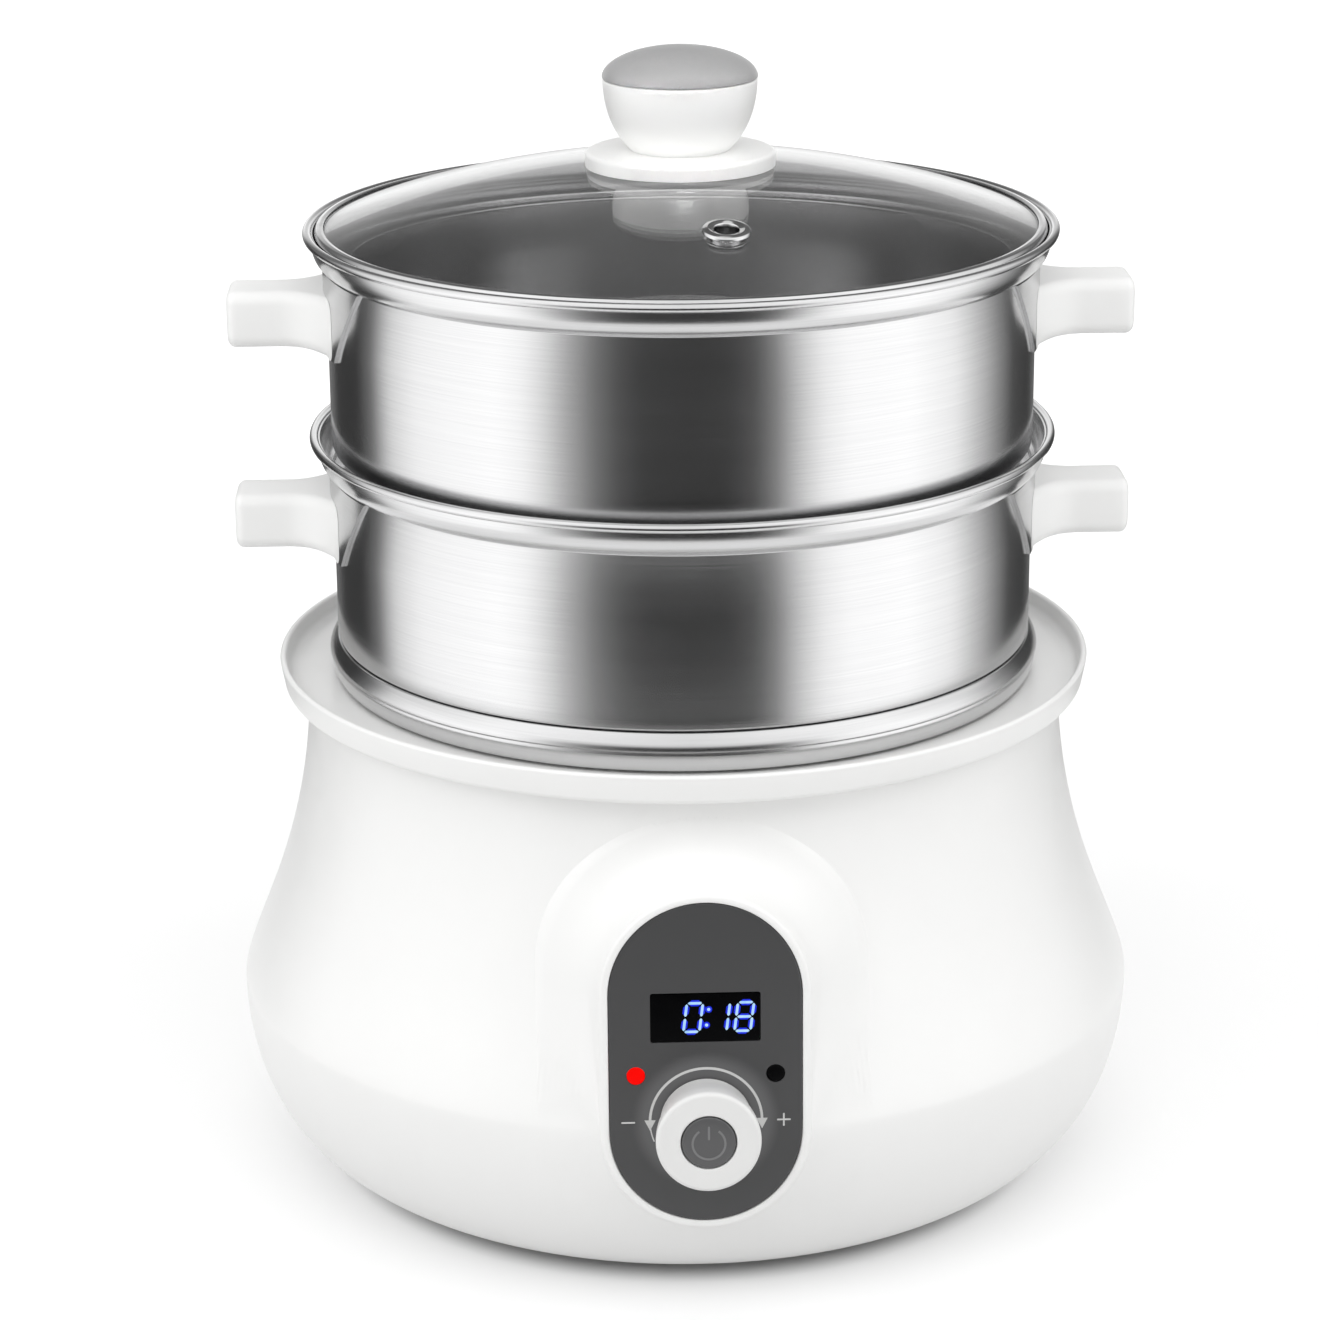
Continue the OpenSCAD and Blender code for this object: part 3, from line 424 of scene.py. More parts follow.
lidGlass = temperedGlass("temperedGlass")
footRubber = castRubber("castRubberFoot", "#1d1d1d", "#292929", 0.7)
silicone = castRubber("castSilicone", "#9a9a99", "#8a8a89", 0.6)
boardGreen = circuitBoard("glassEpoxyBoard")
redLamp = glowingResin("redLampResin", "#2a0201", "#f60402", "#ff0a05")
digitGlow = glowingResin("blueDigitResin", "#06070c", "#8cc4ff", "#d2f0ff")
haloGlow = glowingResin("blueHaloResin", "#030308", "#1a28cc", "#2c40f8")
print("finishes mixed:", len(bpy.data.materials))

# base: bell-shaped shell with the pod for the panel blended into its front
bell = {"bottomR": 121.0, "footH": 4.0, "bellyR": 157.0, "bellyZ": 66.0, "neckR": 130.7, "neckZ": 172.5, "holeR": 112.0,
        "plateZ": 6.6, "footPull": 7.7, "lowPull": 48.2, "bellyPull": (4.1, 16.6), "neckPull": (1.1, 57.1),
        "crease": 2.4, "creaseRows": 10, "topLip": 0.3, "footRing": 3, "turns": 480, "lowRows": 60, "highRows": 62}
panel = {"y": -153.5, "z": 90.0, "lean": 3.0, "w": 62.0, "h": 108.0}
pod = {"border": 3.0, "spread": 18.0, "blend": 7.0, "gap": 0.15, "behind": 1.5, "round": 1.5, "roundRows": 8,
       "edge": ((0.0, 2.4), (0.0, 0.55), (0.12, 0.22), (0.4, 0.04), (0.8, 0.0)), "flareOut": 0.6,
       "flareDepth": (1.6, 9, 16, 23.5), "flareRows": 30, "capRows": 73, "sideRows": 30, "dip": 0.5,
       "search": (-8.0, 70.0), "halvings": 40}
inlet = {"w": 44.0, "h": 26.0, "z": 36.0, "wall": 3.0}

lean = radians(panel["lean"])
panelUp = np.array([0.0, sin(lean), cos(lean)])
panelOut = np.array([0.0, -cos(lean), sin(lean)])
panelAt = np.array([0.0, panel["y"], panel["z"]])
panelFrame = Matrix.Translation(Vector(panelAt) * mm) @ Matrix.Rotation(radians(90) - lean, 4, "X")
capY = (panel["h"] - panel["w"]) / 2

foot = (bell["bottomR"], bell["footH"])
belly = (bell["bellyR"], bell["bellyZ"])
neck = (bell["neckR"], bell["neckZ"])
lowCurve = bezier(foot, (foot[0] + bell["footPull"], foot[1]), (belly[0], belly[1] - bell["lowPull"]), belly,
                  bell["lowRows"])
highCurve = bezier(belly, (belly[0] - bell["bellyPull"][0], belly[1] + bell["bellyPull"][1]),
                   (neck[0] + bell["neckPull"][0], neck[1] - bell["neckPull"][1]), neck, bell["highRows"])
lowPart = [p for p in lowCurve if p[1] < belly[1] - bell["crease"]]
highPart = [p for p in highCurve if p[1] > belly[1] + bell["crease"]]
creaseBend = bezier(lowPart[-1], belly, belly, highPart[0], bell["creaseRows"])[1:-1]
bellLine = lowPart + creaseBend + highPart
bellZ = np.array([p[1] for p in bellLine])
bellR = np.array([p[0] for p in bellLine])


def panelSpots(x, y, depth):
    return panelAt + np.outer(x, [1.0, 0.0, 0.0]) + np.outer(y, panelUp) - np.outer(depth, panelOut)


def bellDepth(x, y):
    # how far behind the panel's plane the plain bell lies, found by halving
    near, far = (np.full(x.shape, limit) for limit in pod["search"])
    for _ in range(pod["halvings"]):
        mid = (near + far) / 2
        spot = panelSpots(x, y, mid)
        outside = np.hypot(spot[:, 0], spot[:, 1]) > np.interp(spot[:, 2], bellZ, bellR)
        near, far = np.where(outside, mid, near), np.where(outside, far, mid)
    return (near + far) / 2


def panelDistance(x, y):
    # distance from the panel's middle line, a short upright stretch
    return np.hypot(x, y - np.clip(y, -capY, capY))


def bellSkin():
    line = [(bell["holeR"], bell["plateZ"]), (bell["holeR"], foot[1]), (foot[0] - bell["footRing"], foot[1])] + bellLine
    line += [(neck[0] - 0.4, neck[1] + bell["topLip"]), (neck[0] - 3, neck[1] + bell["topLip"])]
    verts, faces = revolve(line, bell["turns"], closed=False)
    spots = np.array(verts) / mm
    centres = np.array([spots[f].mean(axis=0) for f in faces])
    x, y, z = centres.T
    fromPanel = panelDistance(x - panelAt[0], (centres - panelAt) @ panelUp)
    behindPanel = (y < 0) & (fromPanel < panel["w"] / 2 - pod["behind"])
    fromInlet = np.hypot(np.maximum(np.abs(x) - (inlet["w"] - inlet["h"]) / 2, 0), z - inlet["z"])
    atInlet = (y > 0) & (fromInlet < inlet["h"] / 2 - inlet["wall"] / 2)
    return verts, [f for f, gone in zip(faces, behindPanel | atInlet) if not gone]


def podSkin():
    half = panel["w"] / 2 + pod["border"]
    wide = half + pod["spread"]
    rimIn = panel["w"] / 2 + pod["gap"]
    d = pod["flareDepth"]
    section = [(rimIn + out, depth) for out, depth in pod["edge"]]
    section += [(half - pod["round"] + pod["round"] * sin(a), pod["round"] - pod["round"] * cos(a))
                for a in np.linspace(0.0, pi / 2, pod["roundRows"])]
    section += bezier((half, d[0]), (half + pod["flareOut"], d[1]), (half + pod["spread"] / 3, d[2]),
                      (wide, d[3]), pod["flareRows"])
    section += [(wide + 1, 26.0), (wide + 2, 29.0), (wide + 3, 32.0)]
    steps = [2 * capY * k / pod["sideRows"] for k in range(pod["sideRows"])]
    turns = [(capY, a) for a in np.linspace(0, pi, pod["capRows"])[:-1]]
    turns += [(capY - step, pi) for step in steps]
    turns += [(-capY, a) for a in np.linspace(pi, 2 * pi, pod["capRows"])[:-1]]
    turns += [(-capY + step, 2 * pi) for step in steps]
    cy, ca = (np.array(v) for v in zip(*turns))
    verts = []
    for row, (reach, depth) in enumerate(section):
        x, y = reach * np.cos(ca), cy + reach * np.sin(ca)
        deep = np.full(len(turns), depth)
        if reach > half - pod["round"] + 0.1:
            plain = bellDepth(x, y)
            soft = min(max(0.6 * depth, 0.2), pod["blend"])
            pull = np.maximum(soft - np.abs(deep - plain), 0) / soft
            deep = np.minimum(deep, plain) - pull * pull * soft / 4
        if row == len(section) - 1:
            deep = deep + pod["dip"]  # the last loop dips just under the bell
        verts += [tuple(spot * mm) for spot in panelSpots(x, y, deep)]
    return verts, ringFaces(len(section), len(turns))


makePiece("bellShell", joinParts(bellSkin(), podSkin()), whiteAbs, "base", ["outer_shell"], sharp=50)
print("base shell drawn")

# lip tray: flat deck, raised lip with a soft inside curve
tray = {"hole": 112.8, "lipR": 140.6, "lipZ": 182.8, "deckZ": 176.5, "under": 172.5, "deckUnder": 173.4, "seatR": 129.5,
        "skirtR": 138.7, "lipW": 2.4, "lipFoot": 3.0}
trayLine = rounded([
    (tray["hole"], tray["deckUnder"], 0.4), (tray["seatR"], tray["deckUnder"], 0), (tray["seatR"], tray["under"], 0),
    (tray["skirtR"], tray["under"], 2.6), (tray["lipR"], tray["lipZ"], 1.15),
    (tray["lipR"] - tray["lipW"], tray["lipZ"], 1.1), (tray["lipR"] - tray["lipFoot"], tray["deckZ"], 4.6),
    (tray["hole"], tray["deckZ"], 0.9)], steps=8)
makePiece("lipTray", revolve(trayLine, 300), whiteAbs, "base", ["rim_tray"])

# cooking pot: spun sheet with an inner ledge and a rolled rim that stands on the deck
pot = {"z": 176.7, "depth": 118.0, "r": 111.8, "sheet": 0.8, "ledge": 1.8, "rimIn": 118.8, "rimH": 13.6, "corner": 12.0,
       "rollShare": 0.62}
potWall = pot["r"] - pot["sheet"] / 2
potLow = pot["sheet"] / 2 - pot["depth"]
rimMid = pot["rimIn"] + pot["sheet"] / 2
rollZ = pot["rimH"] * pot["rollShare"]
potPath = [(0.0, potLow), (40.0, potLow), (potWall - pot["corner"] - 2, potLow)]
potPath += arc((potWall - pot["corner"], potLow + pot["corner"]), pot["corner"], -90, 0, 12)
potPath += [(potWall, -60.0), (potWall, pot["ledge"] - 1.4)]
potPath += arc((potWall + 1, pot["ledge"] - 1.4), 1, 180, 90, 4)[1:]
potPath += [(rimMid - 1.2, pot["ledge"] - 0.4)] + arc((rimMid - 1, pot["ledge"] + 0.6), 1, -90, 0, 4)
potPath += arc((rimMid + 0.5, pot["rimH"] - 0.9), 0.5, 180, 28, 8)
potPath += bezier((rimMid + 0.98, pot["rimH"] - 0.72), (rimMid + 2.1, rollZ + 3.1), (rimMid + 3.3, rollZ + 1),
                  (rimMid + 3.35, rollZ), 10)
potPath += [(rimMid + 2.9, rollZ - 0.35), (rimMid + 2.45, rollZ - 0.8), (rimMid + 2.5, rollZ - 1.3)]
potPath += bezier((rimMid + 2.75, rollZ - 1.7), (rimMid + 2.9, rollZ - 4), (rimMid + 2.3, 2.6),
                  (rimMid + 1.3, 1.2), 9)
potLine = raised(sheetLoop(potPath, pot["sheet"]), pot["z"])
makePiece("spunPot", revolve(potLine, 300), potSteel, "pot", ["inner_pot"], sharp=40)
print("tray and pot drawn")

# steamer baskets: drawn steel with a folded ledge, a coved collar, a rolled bead and a pierced floor; each level has
# its name, its height, the height, radius and sweep of the bend over its foot, and its body
basket = {"r": 120.0, "sheet": 0.8, "pitch": 70.3, "stepIn": 5.0, "seat": 4.0, "ledge": 1.6, "collarH": 8.0,
          "collarStep": 4.9, "bead": 1.5, "beadIn": 0.4, "holeR": 3.0, "rings": 4, "ringStep": 21.0, "turns": 300,
          "levels": (("lower", 178.7, (12.8, 0.6, 85), "steamer_low"),
                     ("upper", 249.2, (10.4, 4.2, 58), "steamer_high"))}
basketMid = basket["r"] - basket["sheet"] / 2
footR = basket["r"] - basket["stepIn"]
collarZ = basket["pitch"] + 1
beadZ = collarZ + basket["collarH"] + 2
collarR = basket["r"] + basket["collarStep"]


def basketParts(z, stepZ, bend, swing):
    # the wall bends in by an arc before it drops to the foot
    turnZ = stepZ - bend * sin(radians(swing)) - 2.6
    footMid = footR - basket["sheet"] / 2
    floorR = footMid - 2.6
    path = [(floorR - 0.2, 0.4)]
    path += arc((footMid - 2, 2.4), 2, -90, 0, 8)
    path += arc((footMid + 1.2, turnZ), 1.2, 180, 118, 5)
    path += arc((basketMid - bend, stepZ), bend, -swing, 0, 14)
    path += [(basketMid, 50.0), (basketMid, collarZ - 0.7)]
    path += arc((basketMid + 0.7, collarZ - 0.7), 0.7, 180, 100, 3)[1:]
    path += arc((basketMid, collarZ + basket["collarH"]), basket["collarStep"], -72, 0, 12, ry=basket["collarH"])
    path += [(basketMid + basket["collarStep"], beadZ)]
    wall = revolve(raised(sheetLoop(path, basket["sheet"]), z), basket["turns"])
    beadLine = arc((collarR + basket["bead"] - basket["beadIn"], beadZ), basket["bead"], 0, 342, 19)
    bead = revolve(raised(beadLine, z), basket["turns"])
    ledgeIn, ledgeLow, ledgeTop = footR - basket["seat"], basket["pitch"] - basket["ledge"] + z, basket["pitch"] + z
    ledge = revolve(rounded([(ledgeIn, ledgeLow, 0.6), (basketMid, ledgeLow, 0), (basketMid, ledgeTop, 0),
                                 (ledgeIn, ledgeTop, 0.6)], steps=5))
    centres = [(0, 0)]
    for ring in range(1, basket["rings"] + 1):
        centres += circle(0, 0, ring * basket["ringStep"], 6 * ring)
    holes = [circle(x, y, basket["holeR"], 20) for x, y in centres]
    floor = flatFill(circle(0, 0, floorR, 180), holes, z + basket["sheet"], basket["sheet"])
    return joinParts(wall, bead, ledge, floor)


for level, z, step, body in basket["levels"]:
    makePiece(level + "BasketShell", basketParts(z, *step), wallSteel, body, [level + "_basket"],
              sharp=40)
print("baskets drawn")

# handles: moulded grips with a flared root on pressed steel plates that follow the wall
grip = {"z": 52.8, "reach": 33.5, "w": 24.0, "t": 19.5, "rootW": 58.0, "rootDrop": 1.0, "corner": 4.6, "cornerMin": 1.5,
        "end": 2.8, "swell": 0.2}
plate = {"half": 56.0, "tip": 32.0, "h": 28.0, "sheet": 1.2, "top": collarZ - 0.6, "gap": 0.02, "rows": 16,
         "across": 60}
plateIn = basket["r"] + plate["gap"]
plateOut = plateIn + plate["sheet"]
rootR = plateOut + 0.05
gripEnd = basket["r"] + grip["reach"]


def platePart(z):
    rows, across = plate["rows"], plate["across"]
    verts, faces = [], []
    for r in (plateIn, plateOut):
        for i in range(rows + 1):
            width = plate["tip"] + (plate["half"] - plate["tip"]) * i / rows
            height = plate["top"] - plate["h"] * (1 - i / rows) + z
            verts += [polar(r, asin(width * (2 * k / across - 1) / plateOut), height) for k in range(across + 1)]
    step = across + 1
    layer = (rows + 1) * step
    for a in (i * step + k for i in range(rows) for k in range(across)):
        faces.append([a, a + 1, a + 1 + step, a + step])
        faces.append([layer + a, layer + a + step, layer + a + 1 + step, layer + a + 1])
    rim = list(range(step)) + [i * step + across for i in range(1, rows + 1)]
    rim += [rows * step + k for k in range(across - 1, -1, -1)] + [i * step for i in range(rows - 1, 0, -1)]
    faces += [[a, b, b + layer, a + layer] for a, b in zip(rim, rim[1:] + rim[:1])]
    return verts, faces


def gripPart(z):
    wallR, halfW, end = basket["r"], grip["w"] / 2, grip["end"]
    low, high = grip["z"] - grip["t"] / 2, grip["z"] + grip["t"] / 2
    drop = low - grip["rootDrop"]
    rootX = sqrt(rootR ** 2 - grip["rootW"] ** 2 / 4)
    flare = bezier((rootX - 1.5, grip["rootW"] / 2 + 1), (rootX + 3, halfW + 9), (rootX + 8, halfW),
                   (rootX + 19, halfW), 24)
    underX, underZ = zip(*bezier((wallR - 6, drop), (wallR + 2, drop), (wallR + 4, low), (wallR + 14, low), 16))
    stations = [(x, w, 0.0) for x, w in flare] + [(gripEnd - end - 2, halfW + grip["swell"], 0.0)]
    for a in np.linspace(0, pi / 2, 8):
        stations.append((gripEnd - end * (1 - sin(a)), halfW + grip["swell"], end * (1 - cos(a))))
    verts = []
    for x, w, inset in stations:
        corner = max(grip["corner"] - inset * 0.6, grip["cornerMin"])
        bottom, top = float(np.interp(x, underX, underZ)) + inset, high - inset
        for py, pz in roundedRect(0, (bottom + top) / 2, 2 * (w - inset), top - bottom, corner, 8):
            px = max(x, sqrt(rootR ** 2 - py ** 2))  # the root stops on the plate
            verts.append((px * mm, py * mm, (pz + z) * mm))
    ring = len(verts) // len(stations)
    endFace = list(range(len(verts) - ring, len(verts)))[::-1]
    return verts, ringFaces(len(stations), ring) + [endFace]


for level, z, _, body in basket["levels"]:
    for sideName, spin in (("Right", 0.0), ("Left", pi)):
        turnTo = Matrix.Rotation(spin, 4, "Z")
        makePiece(level + "Plate" + sideName, placed(platePart(z), turnTo), bracketSteel, body,
                  [level + "_bracket_" + sideName.lower()], sharp=45)
        makePiece(level + "Grip" + sideName, placed(gripPart(z), turnTo), handleAbs, body,
                  [level + "_handle_" + sideName.lower()], sharp=55)
print("handles drawn")

# lid: glass dome in a rolled steel rim, eyelet vent, guard disc and cup-shaped knob with a domed cap
lid = {"rimR": 123.6, "glassR": 122.65, "glassT": 4.0, "rise": 21.5, "edgeZ": 330.7, "lip": 2.2, "skirtZ": 324.7,
       "boreR": 4.0, "domeRows": 40, "edgeRound": 0.6, "discR": 32.0, "discTop": 356.0, "footR": 16.5, "topR": 26.0,
       "capZ": 380.3, "capH": 10.2, "ventR": 4.0, "ventReach": 78.0, "ventTurn": 8.3, "drillR": 5.1}
domeR = (lid["glassR"] ** 2 + lid["rise"] ** 2) / (2 * lid["rise"])
crownZ = lid["edgeZ"] + lid["rise"]


def domeZ(r):
    return crownZ - domeR + sqrt(domeR * domeR - r * r)


domeRadii = [lid["boreR"] + (lid["glassR"] - lid["boreR"]) * i / lid["domeRows"] for i in range(lid["domeRows"] + 1)]
domeTop = [(r, domeZ(r)) for r in domeRadii]
domeUnder = [(r, z - lid["glassT"]) for r, z in domeTop[::-1]]
glassEdge = [(lid["glassR"] + 0.1, domeTop[-1][1] - lid["edgeRound"]),
             (lid["glassR"] + 0.1, domeUnder[0][1] + lid["edgeRound"])]
domePart = revolve(domeTop + glassEdge + domeUnder)
dome = makePiece("glassDome", domePart, lidGlass, "lid", ["lid_glass"], sharp=40)
ventSlope = asin(lid["ventReach"] / domeR)
ventFrame = (Matrix.Rotation(radians(lid["ventTurn"]), 4, "Z")
             @ Matrix.Translation((0, -lid["ventReach"] * mm, domeZ(lid["ventReach"]) * mm))
             @ Matrix.Rotation(ventSlope, 4, "X"))
drillLine = [(0.0, -10.0), (lid["drillR"], -10.0), (lid["drillR"], 6.0), (0.0, 6.0)]
cutter = addObject("ventDrill", meshOf("ventDrill", placed(revolve(drillLine, 48, closed=False), ventFrame)))
drill = dome.modifiers.new("ventDrill", "BOOLEAN")
drill.object, drill.operation, drill.solver = cutter, "DIFFERENCE", "EXACT"
shaped = bpy.data.meshes.new_from_object(dome.evaluated_get(bpy.context.evaluated_depsgraph_get()))
dome.modifiers.clear()
dome.data = shaped
bpy.data.objects.remove(cutter)

glassR, rimR, edgeZ, skirtZ = lid["glassR"], lid["rimR"], lid["edgeZ"], lid["skirtZ"]
lipIn = glassR - lid["lip"]
lipZ = domeZ(lipIn)
rimLine = rounded([
    (lipIn, lipZ + 0.15, 0), (glassR + 0.12, edgeZ + 0.2, 0), (glassR + 0.15, edgeZ - 4.2, 0), (lipIn, edgeZ - 4.15, 0),
    (lipIn, edgeZ - 4.95, 0.3), (rimR - 1.8, skirtZ, 0.2), (rimR - 1.0, skirtZ, 0.35), (rimR, skirtZ + 3, 1.2),
    (rimR, lipZ - 0.9, 0.9), (rimR - 0.75, lipZ + 0.7, 0.9), (rimR - 2.0, lipZ + 1.0, 0.8), (lipIn, lipZ + 0.85, 0.3)])
makePiece("lidRimBand", revolve(rimLine, 300), brightSteel, "lid", ["lid_rim"], sharp=38)

ventR = lid["ventR"]
eyeletLine = rounded([
    (ventR, -5.8, 0.3), (7.0, -5.8, 0.4), (7.0, -4.6, 0.3), (5.0, -4.6, 0), (5.0, 0.3, 0), (8.0, 0.25, 0.1),
    (7.7, 1.3, 0.7), (6.0, 1.8, 0.8), (ventR + 0.2, 1.2, 0.5), (ventR, 0.0, 0.4)], steps=5)
eyeletPart = placed(revolve(eyeletLine, 72), ventFrame)
makePiece("ventEyelet", eyeletPart, brightSteel, "lid", ["vent_eyelet"], sharp=45)

discR, discTop, washerR = lid["discR"], lid["discTop"], 12.5
discRadii = [washerR + (discR - washerR) * i / 10 for i in range(11)]
discLine = [(lid["boreR"], crownZ + 1.1), (washerR, crownZ + 1.1)] + [(r, domeZ(r) + 0.1) for r in discRadii]
discLine += rounded([(discR, domeZ(discR) + 0.15, 0), (discR, discTop, 1.6), (20.0, discTop + 0.25, 0)],
                    closed=False, steps=8)[1:]
discLine += [(16.0, discTop + 0.25), (lid["boreR"], discTop)]
makePiece("guardDisc", revolve(discLine, 144), whiteAbs, "lid", ["knob_disc"], sharp=40)

cupR, capZ, cupZ, screwR, bossR = lid["topR"], lid["capZ"], lid["discTop"] + 0.1, 2.6, 6.5
cupLine = [(screwR, cupZ)]
cupLine += bezier((lid["footR"], cupZ), (lid["footR"] + 5.5, discTop + 5), (cupR - 0.2, discTop + 13),
                  (cupR, capZ - 0.5), 28)
cupLine += [(cupR - 0.12, capZ - 0.15), (cupR - 0.5, capZ), (cupR - 2.4, capZ), (cupR - 3.9, discTop + 12),
            (lid["footR"] - 2, discTop + 4), (bossR, discTop + 4), (bossR, discTop + 14), (screwR, discTop + 14)]
makePiece("knobCup", revolve(cupLine, 144), whiteAbs, "lid", ["knob_body"], sharp=40)

plugIn, plugOut, plugDeep = 18.7, 23.1, 3
capLine = [(0.0, capZ + 1.6), (plugIn, capZ + 1.6), (plugIn, capZ - plugDeep), (plugOut, capZ - plugDeep),
           (plugOut, capZ + 0.1), (cupR - 0.2, capZ + 0.12), (cupR + 0.12, capZ + 0.3)]
capLine += arc((0, capZ + 0.05), cupR + 0.2, 5, 90, 26, ry=lid["capH"])
makePiece("knobDomeCap", revolve(capLine, 144), capAbs, "lid", ["knob_cap"], sharp=40)
print("lid drawn")


# loops on the control panel are measured from its middle
def stadiumLoop(halfW, halfH, count):
    rise = halfH - halfW
    return arc((0, rise), halfW, 0, 180, count) + arc((0, -rise), halfW, 180, 360, count)


fascia = {"front": -0.3, "t": 1.7, "edge": ((0.0, 0.45), (0.1, 0.2), (0.3, 0.05), (0.6, 0.0)), "displayW": 35.0,
          "displayH": 16.4, "displayY": 15.7, "displayGap": 0.3, "lampX": 22.4, "lampY": -3.8, "lampR": 2.9,
          "lampGap": 0.15, "dialY": -19.6, "bushR": 4.65, "ringIn": 19.0, "ringOut": 24.5}


# screen-printed polycarbonate: satin grey, with a painted glow of lighter grey in a soft ring round the knob, and a
# fine leather grain
def printedPanel(name):
    surface, tree, place = startSurface(name)
    centre = Vector(panelAt) * mm + Vector(panelUp) * fascia["dialY"] * mm
    away = vectorValue(tree, "DISTANCE", place, tuple(centre))
    # painted glow: the grey turns lighter in a soft ring round the knob
    halo = mapRange(tree, away, fascia["ringIn"] * mm, fascia["ringOut"] * mm, 1.0, 0.0, "SMOOTHSTEP")
    cloud, grain = noiseAt(tree, place, 20, 2.0), noiseAt(tree, place, 0.45, 2.0)
    plain = mixTones(tree, cloud, "#424243", "#3d3d3e")
    return closeSurface(surface, {
        "IOR": 1.58, "Base Color": mixTones(tree, halo, plain, "#5c5c5d"),
        "Roughness": mapRange(tree, cloud, 0.0, 1.0, 0.4, 0.5), "Normal": bumpOf(tree, grain, 0.06)})


panelGrey = printedPanel("printedPolycarbonate")
front, back = fascia["front"], fascia["front"] - fascia["t"]
paneW, paneH, displayY, dialY = (fascia[key] for key in ("displayW", "displayH", "displayY", "dialY"))
lampX, lampY, lampR = (fascia[key] for key in ("lampX", "lampY", "lampR"))
edgeLoops = [(stadiumLoop(panel["w"] / 2 - inset, panel["h"] / 2 - inset, 63), z)
             for inset, z in [(0.0, back)] + [(inset, front - drop) for inset, drop in fascia["edge"]]]
paneHoles = [roundedRect(0, displayY, paneW + fascia["displayGap"], paneH + fascia["displayGap"], 0.8)]
paneHoles += [circle(side * lampX, lampY, lampR + fascia["lampGap"], 40) for side in (-1, 1)]
paneHoles += [circle(0, dialY, fascia["bushR"], 48)]
face = flatFill(edgeLoops[-1][0], paneHoles, front, fascia["t"])
makePiece("panelFascia", placed(joinParts(loopBands(edgeLoops), face), panelFrame), panelGrey, "base",
          ["fascia"], sharp=40)

# display: tinted window with slanted seven-segment digits
display = {"digitW": 5.1, "digitH": 9.65, "stroke": 0.86, "slant": 7.0, "gap": 0.2, "halo": 1.15, "inkT": 0.06,
           "places": (-3.9, 4.75, 12.4), "colonX": 0.71, "colonY": 2.64, "colonLean": 0.35, "faceDrop": 0.12,
           "corner": 0.7}
paneEdge = ((0.0, back - 0.5), (0.0, front - 0.45), (0.12, front - 0.2), (0.35, front - display["faceDrop"]))
paneLoops = [(roundedRect(0, displayY, paneW - 2 * inset, paneH - 2 * inset, display["corner"]), z)
             for inset, z in paneEdge]
paneFace = flatFill(paneLoops[-1][0], [], front - display["faceDrop"], 0.6)
makePiece("displayPane", placed(joinParts(loopBands(paneLoops), paneFace), panelFrame), displayAcrylic, "base",
          ["display_window"])


def segmentLoops(x, digit, s):
    w, h = display["digitW"], display["digitH"]
    slant = tan(radians(display["slant"]))
    lit = {"0": "abcdef", "1": "bc", "8": "abcdefg"}[digit]
    bars = {"a": ((0, h), (w, h)), "g": ((0, h / 2), (w, h / 2)), "d": ((0, 0), (w, 0)), "f": ((0, h / 2), (0, h)),
            "b": ((w, h / 2), (w, h)), "e": ((0, 0), (0, h / 2)), "c": ((w, 0), (w, h / 2))}
    loops = []
    for name in lit:
        a, b = (Vector(p) for p in bars[name])
        along = (b - a).normalized()
        side = Vector((-along.y, along.x)) * s / 2
        gap = along * (display["gap"] + s * 0.1)
        a, b = a + gap, b - gap
        tip = along * s / 2
        loop = [a, a + tip + side, b - tip + side, b, b - tip - side, a + tip - side]
        loops.append([(x - w / 2 + p.x + (p.y - h / 2) * slant, p.y - h / 2 + displayY) for p in loop])
    return loops


for name, stroke, height, surface in (("displayDigits", display["stroke"], front - 0.06, digitGlow),
                                      ("displayHalo", display["stroke"] + display["halo"], front - 0.09, haloGlow)):
    loops = [loop for x, digit in zip(display["places"], "018") for loop in segmentLoops(x, digit, stroke)]
    for up in (-1, 1):
        loops.append(circle(display["colonX"] + display["colonLean"] * up, displayY + display["colonY"] * up,
                                0.1 + stroke / 2, 18))
    makePiece(name, placed(flatFills(loops, height, display["inkT"]), panelFrame), surface, "base")

# indicator lamps: low domes set in the panel
lens = {"deep": 6, "rise": 0.8, "sunk": 0.1}
lensLine = [(0.0, back - lens["deep"]), (lampR, back - lens["deep"]), (lampR, front - lens["sunk"])]
lensLine += arc((0, front - lens["sunk"]), lampR, 8, 90, 10, ry=lens["rise"])
for name, side, surface, slotName, node in (("litLampLens", -1, redLamp, "red_lens", "red_lamp"),
                                            ("darkLampLens", 1, darkLens, "dark_lens", "dark_lamp")):
    shift = Matrix.Translation((side * lampX * mm, lampY * mm, 0))
    makePiece(name, placed(revolve(lensLine, 56), panelFrame @ shift), surface, "base", [node], sharp=45)

# print on the panel: minus, plus and the turning arc with its arrow heads
marks = {"signX": 25.0, "signY": -19.7, "signL": 4.4, "signW": 0.55, "corner": 0.2, "arcR": 18.0, "arcW": 0.85,
         "tailW": 0.4, "headW": 3.6, "headH": 3.6, "headUp": 0.6, "ink": 0.05}
signX, signY, signL, signW = (marks[key] for key in ("signX", "signY", "signL", "signW"))
inkLoops = [roundedRect(side * signX, signY, signL, signW, marks["corner"], 3) for side in (-1, 1)]
inkLoops += [roundedRect(signX, signY + up * (signL + signW) / 4, signW, (signL - signW) / 2, marks["corner"], 3)
             for up in (-1, 1)]
inkLoops.append(arcBand((0, dialY), marks["arcR"], marks["arcW"], 2, 178, 72))
for side in (-1, 1):
    x, y = side * marks["arcR"], dialY + marks["headUp"]
    inkLoops.append([(x - marks["headW"] / 2, y), (x, y - marks["headH"]), (x + marks["headW"] / 2, y)])
inkLoops.append(arcBand((0, dialY), marks["arcR"], marks["tailW"], 184, 202, 12))
inkPart = flatFills(inkLoops, front + marks["ink"], marks["ink"])
makePiece("panelPrint", placed(inkPart, panelFrame), paleInk, "base")

